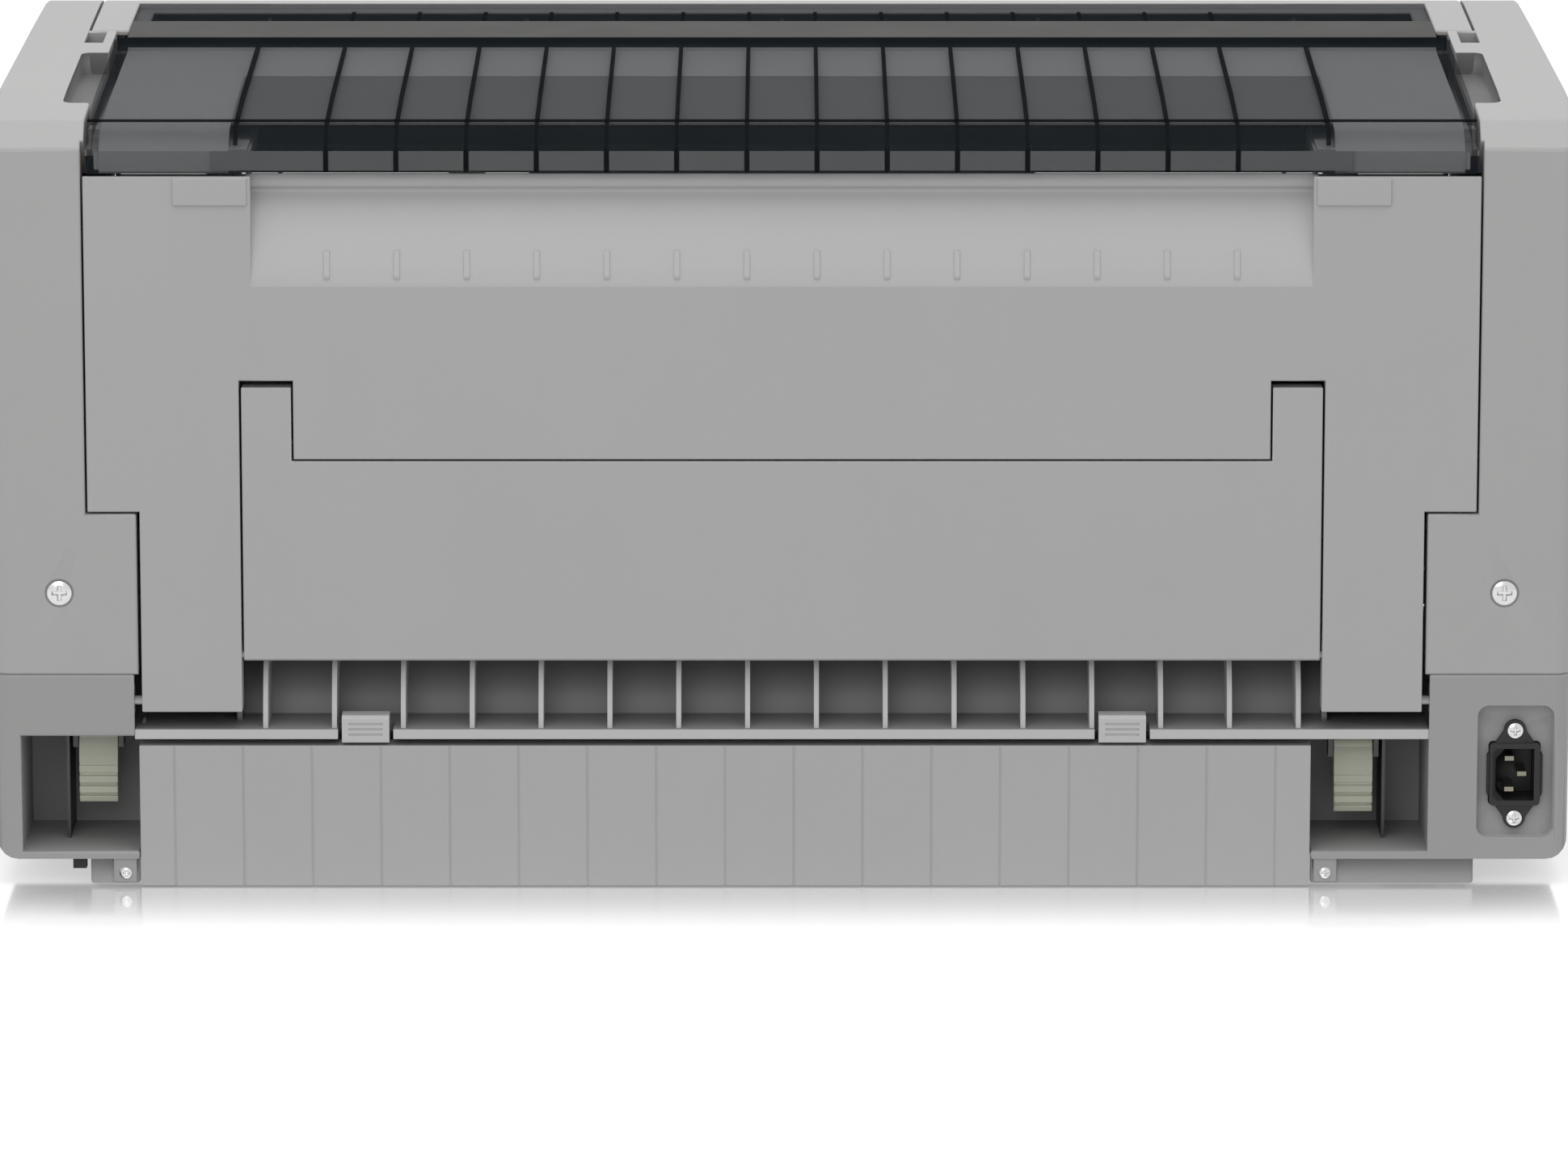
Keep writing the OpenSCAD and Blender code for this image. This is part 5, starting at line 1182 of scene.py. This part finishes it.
@dataclass
class PanelMarks:
    """Lenses of the three lamps on the control panel, and a raised sign on each key.

    A sign is one or more flat outlines in millimetres round the key's middle: an arrow head over a bar, an
    arrow head, bars side by side, or bars in a pile. A lens is a flattened quarter circle, turned about its
    axis.
    """

    lens_x: float = 298.5 * MM
    lens_z: tuple[float, ...] = (215.0 * MM, 207.0 * MM, 199.0 * MM)
    lens_radius: float = 1.5 * MM
    lens_rise: float = 0.5 * MM
    lens_root: float = 1.5 * MM
    lens_steps: int = 32
    bow_steps: int = 7
    pole: float = 0.02
    rise: float = 0.2 * MM
    sink: float = 0.3 * MM
    signs: dict[str, list[list[tuple[float, float]]]] = field(default_factory=lambda: {
        "load_key": [[(-2.6, -1.2), (2.6, -1.2), (0.0, 2.2)], box_outline(0.0, -2.25, 2.6, 0.35)],
        "feed_key": [[(-2.6, 1.6), (0.0, -2.2), (2.6, 1.6)]],
        "pause_key": [box_outline(x, 0.0, 0.6, 2.0) for x in (-1.5, 1.5)],
        "menu_key": [box_outline(0.0, z, 2.4, 0.4) for z in (-1.7, 0.0, 1.7)]})

    def sign(self, outline: list[tuple[float, float]], middle: Vector, front: float) -> bpy.types.Mesh:
        """A plate that stands just proud of a key's face and reaches just into it.

        Args:
            outline: Its corners round the key's middle.
            middle: The key's middle.
            front: Depth of the key's face.

        Returns:
            The plate's mesh.
        """
        flat = np.array(outline) * MM
        ring = np.column_stack([middle.x + flat[:, 0], np.zeros(len(flat)), middle.z + flat[:, 1]])
        return skinned("sign", np.stack([ring + [0, y, 0] for y in (front + self.sink, front - self.rise)]))

    def lenses(self) -> list[bpy.types.Mesh]:
        """Makes the three lenses.

        Returns:
            Their meshes.
        """
        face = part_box("control_panel")[0][1] + self.lens_rise
        bow = np.linspace(0, math.pi / 2, self.bow_steps)
        profile = np.column_stack([self.lens_radius * np.cos(bow), -self.lens_rise * np.sin(bow)])
        profile[-1, 0] = self.pole * self.lens_radius
        profile = np.concatenate([[[self.lens_radius, self.lens_root]], profile])
        return [turned("lens", profile, Vector((self.lens_x, face, z)), 1, self.lens_steps)
                for z in self.lens_z]

    def build(self) -> None:
        """Places the lenses and the signs."""
        Piece("lamp_lenses", join_meshes("lamp_lenses", self.lenses()), Finish.LENS,
              BODY_OF["control_panel"], slot="display_green").place()
        for key, outlines in self.signs.items():
            low, high = (Vector(corner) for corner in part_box(key))
            plates = [self.sign(outline, (low + high) / 2, low.y) for outline in outlines]
            name = f"{key}_sign"
            Piece(name, join_meshes(name, plates), Finish.PANEL, BODY_OF[key], slot="panel_dark").place()


@dataclass
class Works:
    """Chassis, print works and electrics, which keep their CAD meshes."""

    # Painted shade: exit_guide takes black, darker than its own slot's grey, for the shade deep in the
    # throat.
    other_finish: dict[str, Finish] = field(default_factory=lambda: {
        "lever_brackets": Finish.SCREEN, "left_latch": Finish.GUIDES,
        "right_latch": Finish.GUIDES, "exit_guide": Finish.BLACK})

    def build(self) -> None:
        """Dresses every node that still shows."""
        for name, node in frame["nodes"].items():
            if not node.hide_render:
                dress(name, self.other_finish.get(name))


# ---------------------------------------------------------------- the studio


@dataclass
class Studio:
    """White floor and surround, soft light from above and from behind the camera, and the camera.

    The floor mirrors in a patch that fades in over mirror_start up to the printer's rear, fades out over
    mirror_depth behind it, and fades out over side_fade past mirror_side at both sides. mirror is its share.
    """

    eye: tuple[float, float, float] = (-0.0009, 4.2235, 0.9944)
    tilt: float = 12.0
    lens: float = 213.9
    sensor: float = 36.0
    far: float = 60.0
    reach: float = 9.0
    floor_white: float = 0.62
    floor_rough: float = 0.9
    glow: float = 0.50
    mirror: float = 0.66
    mirror_rough: float = 0.10
    mirror_start: float = 0.012
    mirror_depth: float = 0.10
    mirror_side: float = 0.37
    side_fade: float = 0.04
    sky: float = 0.80
    aim: tuple[float, float, float] = (0.0, 0.0, 0.2)

    def camera(self) -> None:
        """Aims the camera level along -Y and down by the tilt."""
        data = bpy.data.cameras.new("camera")
        data.lens = self.lens
        data.sensor_width = self.sensor
        data.sensor_fit = "HORIZONTAL"
        data.clip_end = self.far
        camera = bpy.data.objects.new("camera", data)
        camera.location = self.eye
        camera.rotation_euler = (math.radians(90 - self.tilt), 0, math.radians(180))
        bpy.context.scene.collection.objects.link(camera)
        bpy.context.scene.camera = camera

    def floor(self) -> None:
        """A white floor that glows where it is seen, takes shadows, and mirrors the printer's rear."""
        size = self.reach
        corners = [(-size, -size, 0), (size, -size, 0), (size, size, 0), (-size, size, 0)]
        mesh = bpy.data.meshes.new("floor")
        mesh.from_pydata(corners, [], [(0, 1, 2, 3)])
        floor = bpy.data.objects.new("floor", mesh)
        bpy.context.scene.collection.objects.link(floor)
        g = Graph("floor_white")
        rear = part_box("base_tray")[1][1]
        ahead = g.axis(1).ramp(rear, rear + self.mirror_depth, 1.0, 0.0)
        ahead = ahead * g.axis(1).ramp(rear - self.mirror_start, rear)
        for side in (-1, 1):
            fade = (g.axis(0) * side).ramp(self.mirror_side, self.mirror_side + self.side_fade, 1.0, 0.0)
            ahead = ahead * fade
        light = g.node("ShaderNodeLightPath")
        seen = Expr(g, light.outputs["Is Camera Ray"]).highest(Expr(g, light.outputs["Is Glossy Ray"]))
        seen = seen.highest(Expr(g, light.outputs["Is Transmission Ray"]))
        g.set(Base_Color=(self.floor_white,) * 3, Roughness=self.floor_rough, Specular_IOR_Level=0.0)
        glow = g.node("ShaderNodeEmission", inputs={"Color": (1, 1, 1, 1), "Strength": seen * self.glow})
        lit = g.node("ShaderNodeAddShader", inputs={0: g.shader.outputs[0], 1: glow.outputs[0]})
        gloss = g.node("ShaderNodeBsdfGlossy", inputs={"Roughness": self.mirror_rough, "Color": (1, 1, 1, 1)})
        both = g.node("ShaderNodeMixShader",
                      inputs={0: ahead * self.mirror, 1: lit.outputs[0], 2: gloss.outputs[0]})
        g.link(both.outputs[0], g.output.inputs[0])
        mesh.materials.append(g.material)

    def world(self) -> None:
        """An even white surround: 1 where it is seen, and the sky's level where it lights."""
        world = bpy.data.worlds.new("studio")
        bpy.context.scene.world = world
        world.use_nodes = True
        tree = world.node_tree
        tree.nodes.clear()
        output = tree.nodes.new("ShaderNodeOutputWorld")
        light = tree.nodes.new("ShaderNodeLightPath")
        level = tree.nodes.new("ShaderNodeMapRange")
        level.inputs["To Min"].default_value = 1.0
        level.inputs["To Max"].default_value = self.sky
        tree.links.new(light.outputs["Is Diffuse Ray"], level.inputs["Value"])
        background = tree.nodes.new("ShaderNodeBackground")
        background.inputs["Color"].default_value = (1, 1, 1, 1)
        tree.links.new(level.outputs[0], background.inputs["Strength"])
        tree.links.new(background.outputs[0], output.inputs[0])

    def lamp(self, name: str, place: tuple[float, float, float], size: float, power: float) -> None:
        """Adds a square soft light that faces the printer.

        Args:
            name: The light's name.
            place: Where it stands.
            size: Length of its side.
            power: Its power in watts.
        """
        data = bpy.data.lights.new(name, "AREA")
        data.shape = "SQUARE"
        data.size = size
        data.energy = power
        lamp = bpy.data.objects.new(name, data)
        lamp.location = place
        lamp.rotation_euler = (Vector(self.aim) - Vector(place)).to_track_quat("-Z", "Y").to_euler()
        bpy.context.scene.collection.objects.link(lamp)

    def build(self) -> None:
        """Sets up the whole studio."""
        scene = bpy.context.scene
        scene.view_settings.view_transform = "Standard"
        self.camera()
        self.floor()
        self.world()
        self.lamp("overhead", (0.0, 0.6, 2.6), 2.2, 26.0)
        self.lamp("behind_camera", (0.8, 3.4, 1.6), 1.6, 14.0)


def main() -> None:
    """Builds the printer's looks and the studio."""
    logging.basicConfig(level=logging.INFO, format="%(message)s")
    Studio().build()
    Casing().build()
    SmokedCovers().build()
    Screws().build()
    PanelMarks().build()
    Works().build()


if __name__ == "__main__":
    main()
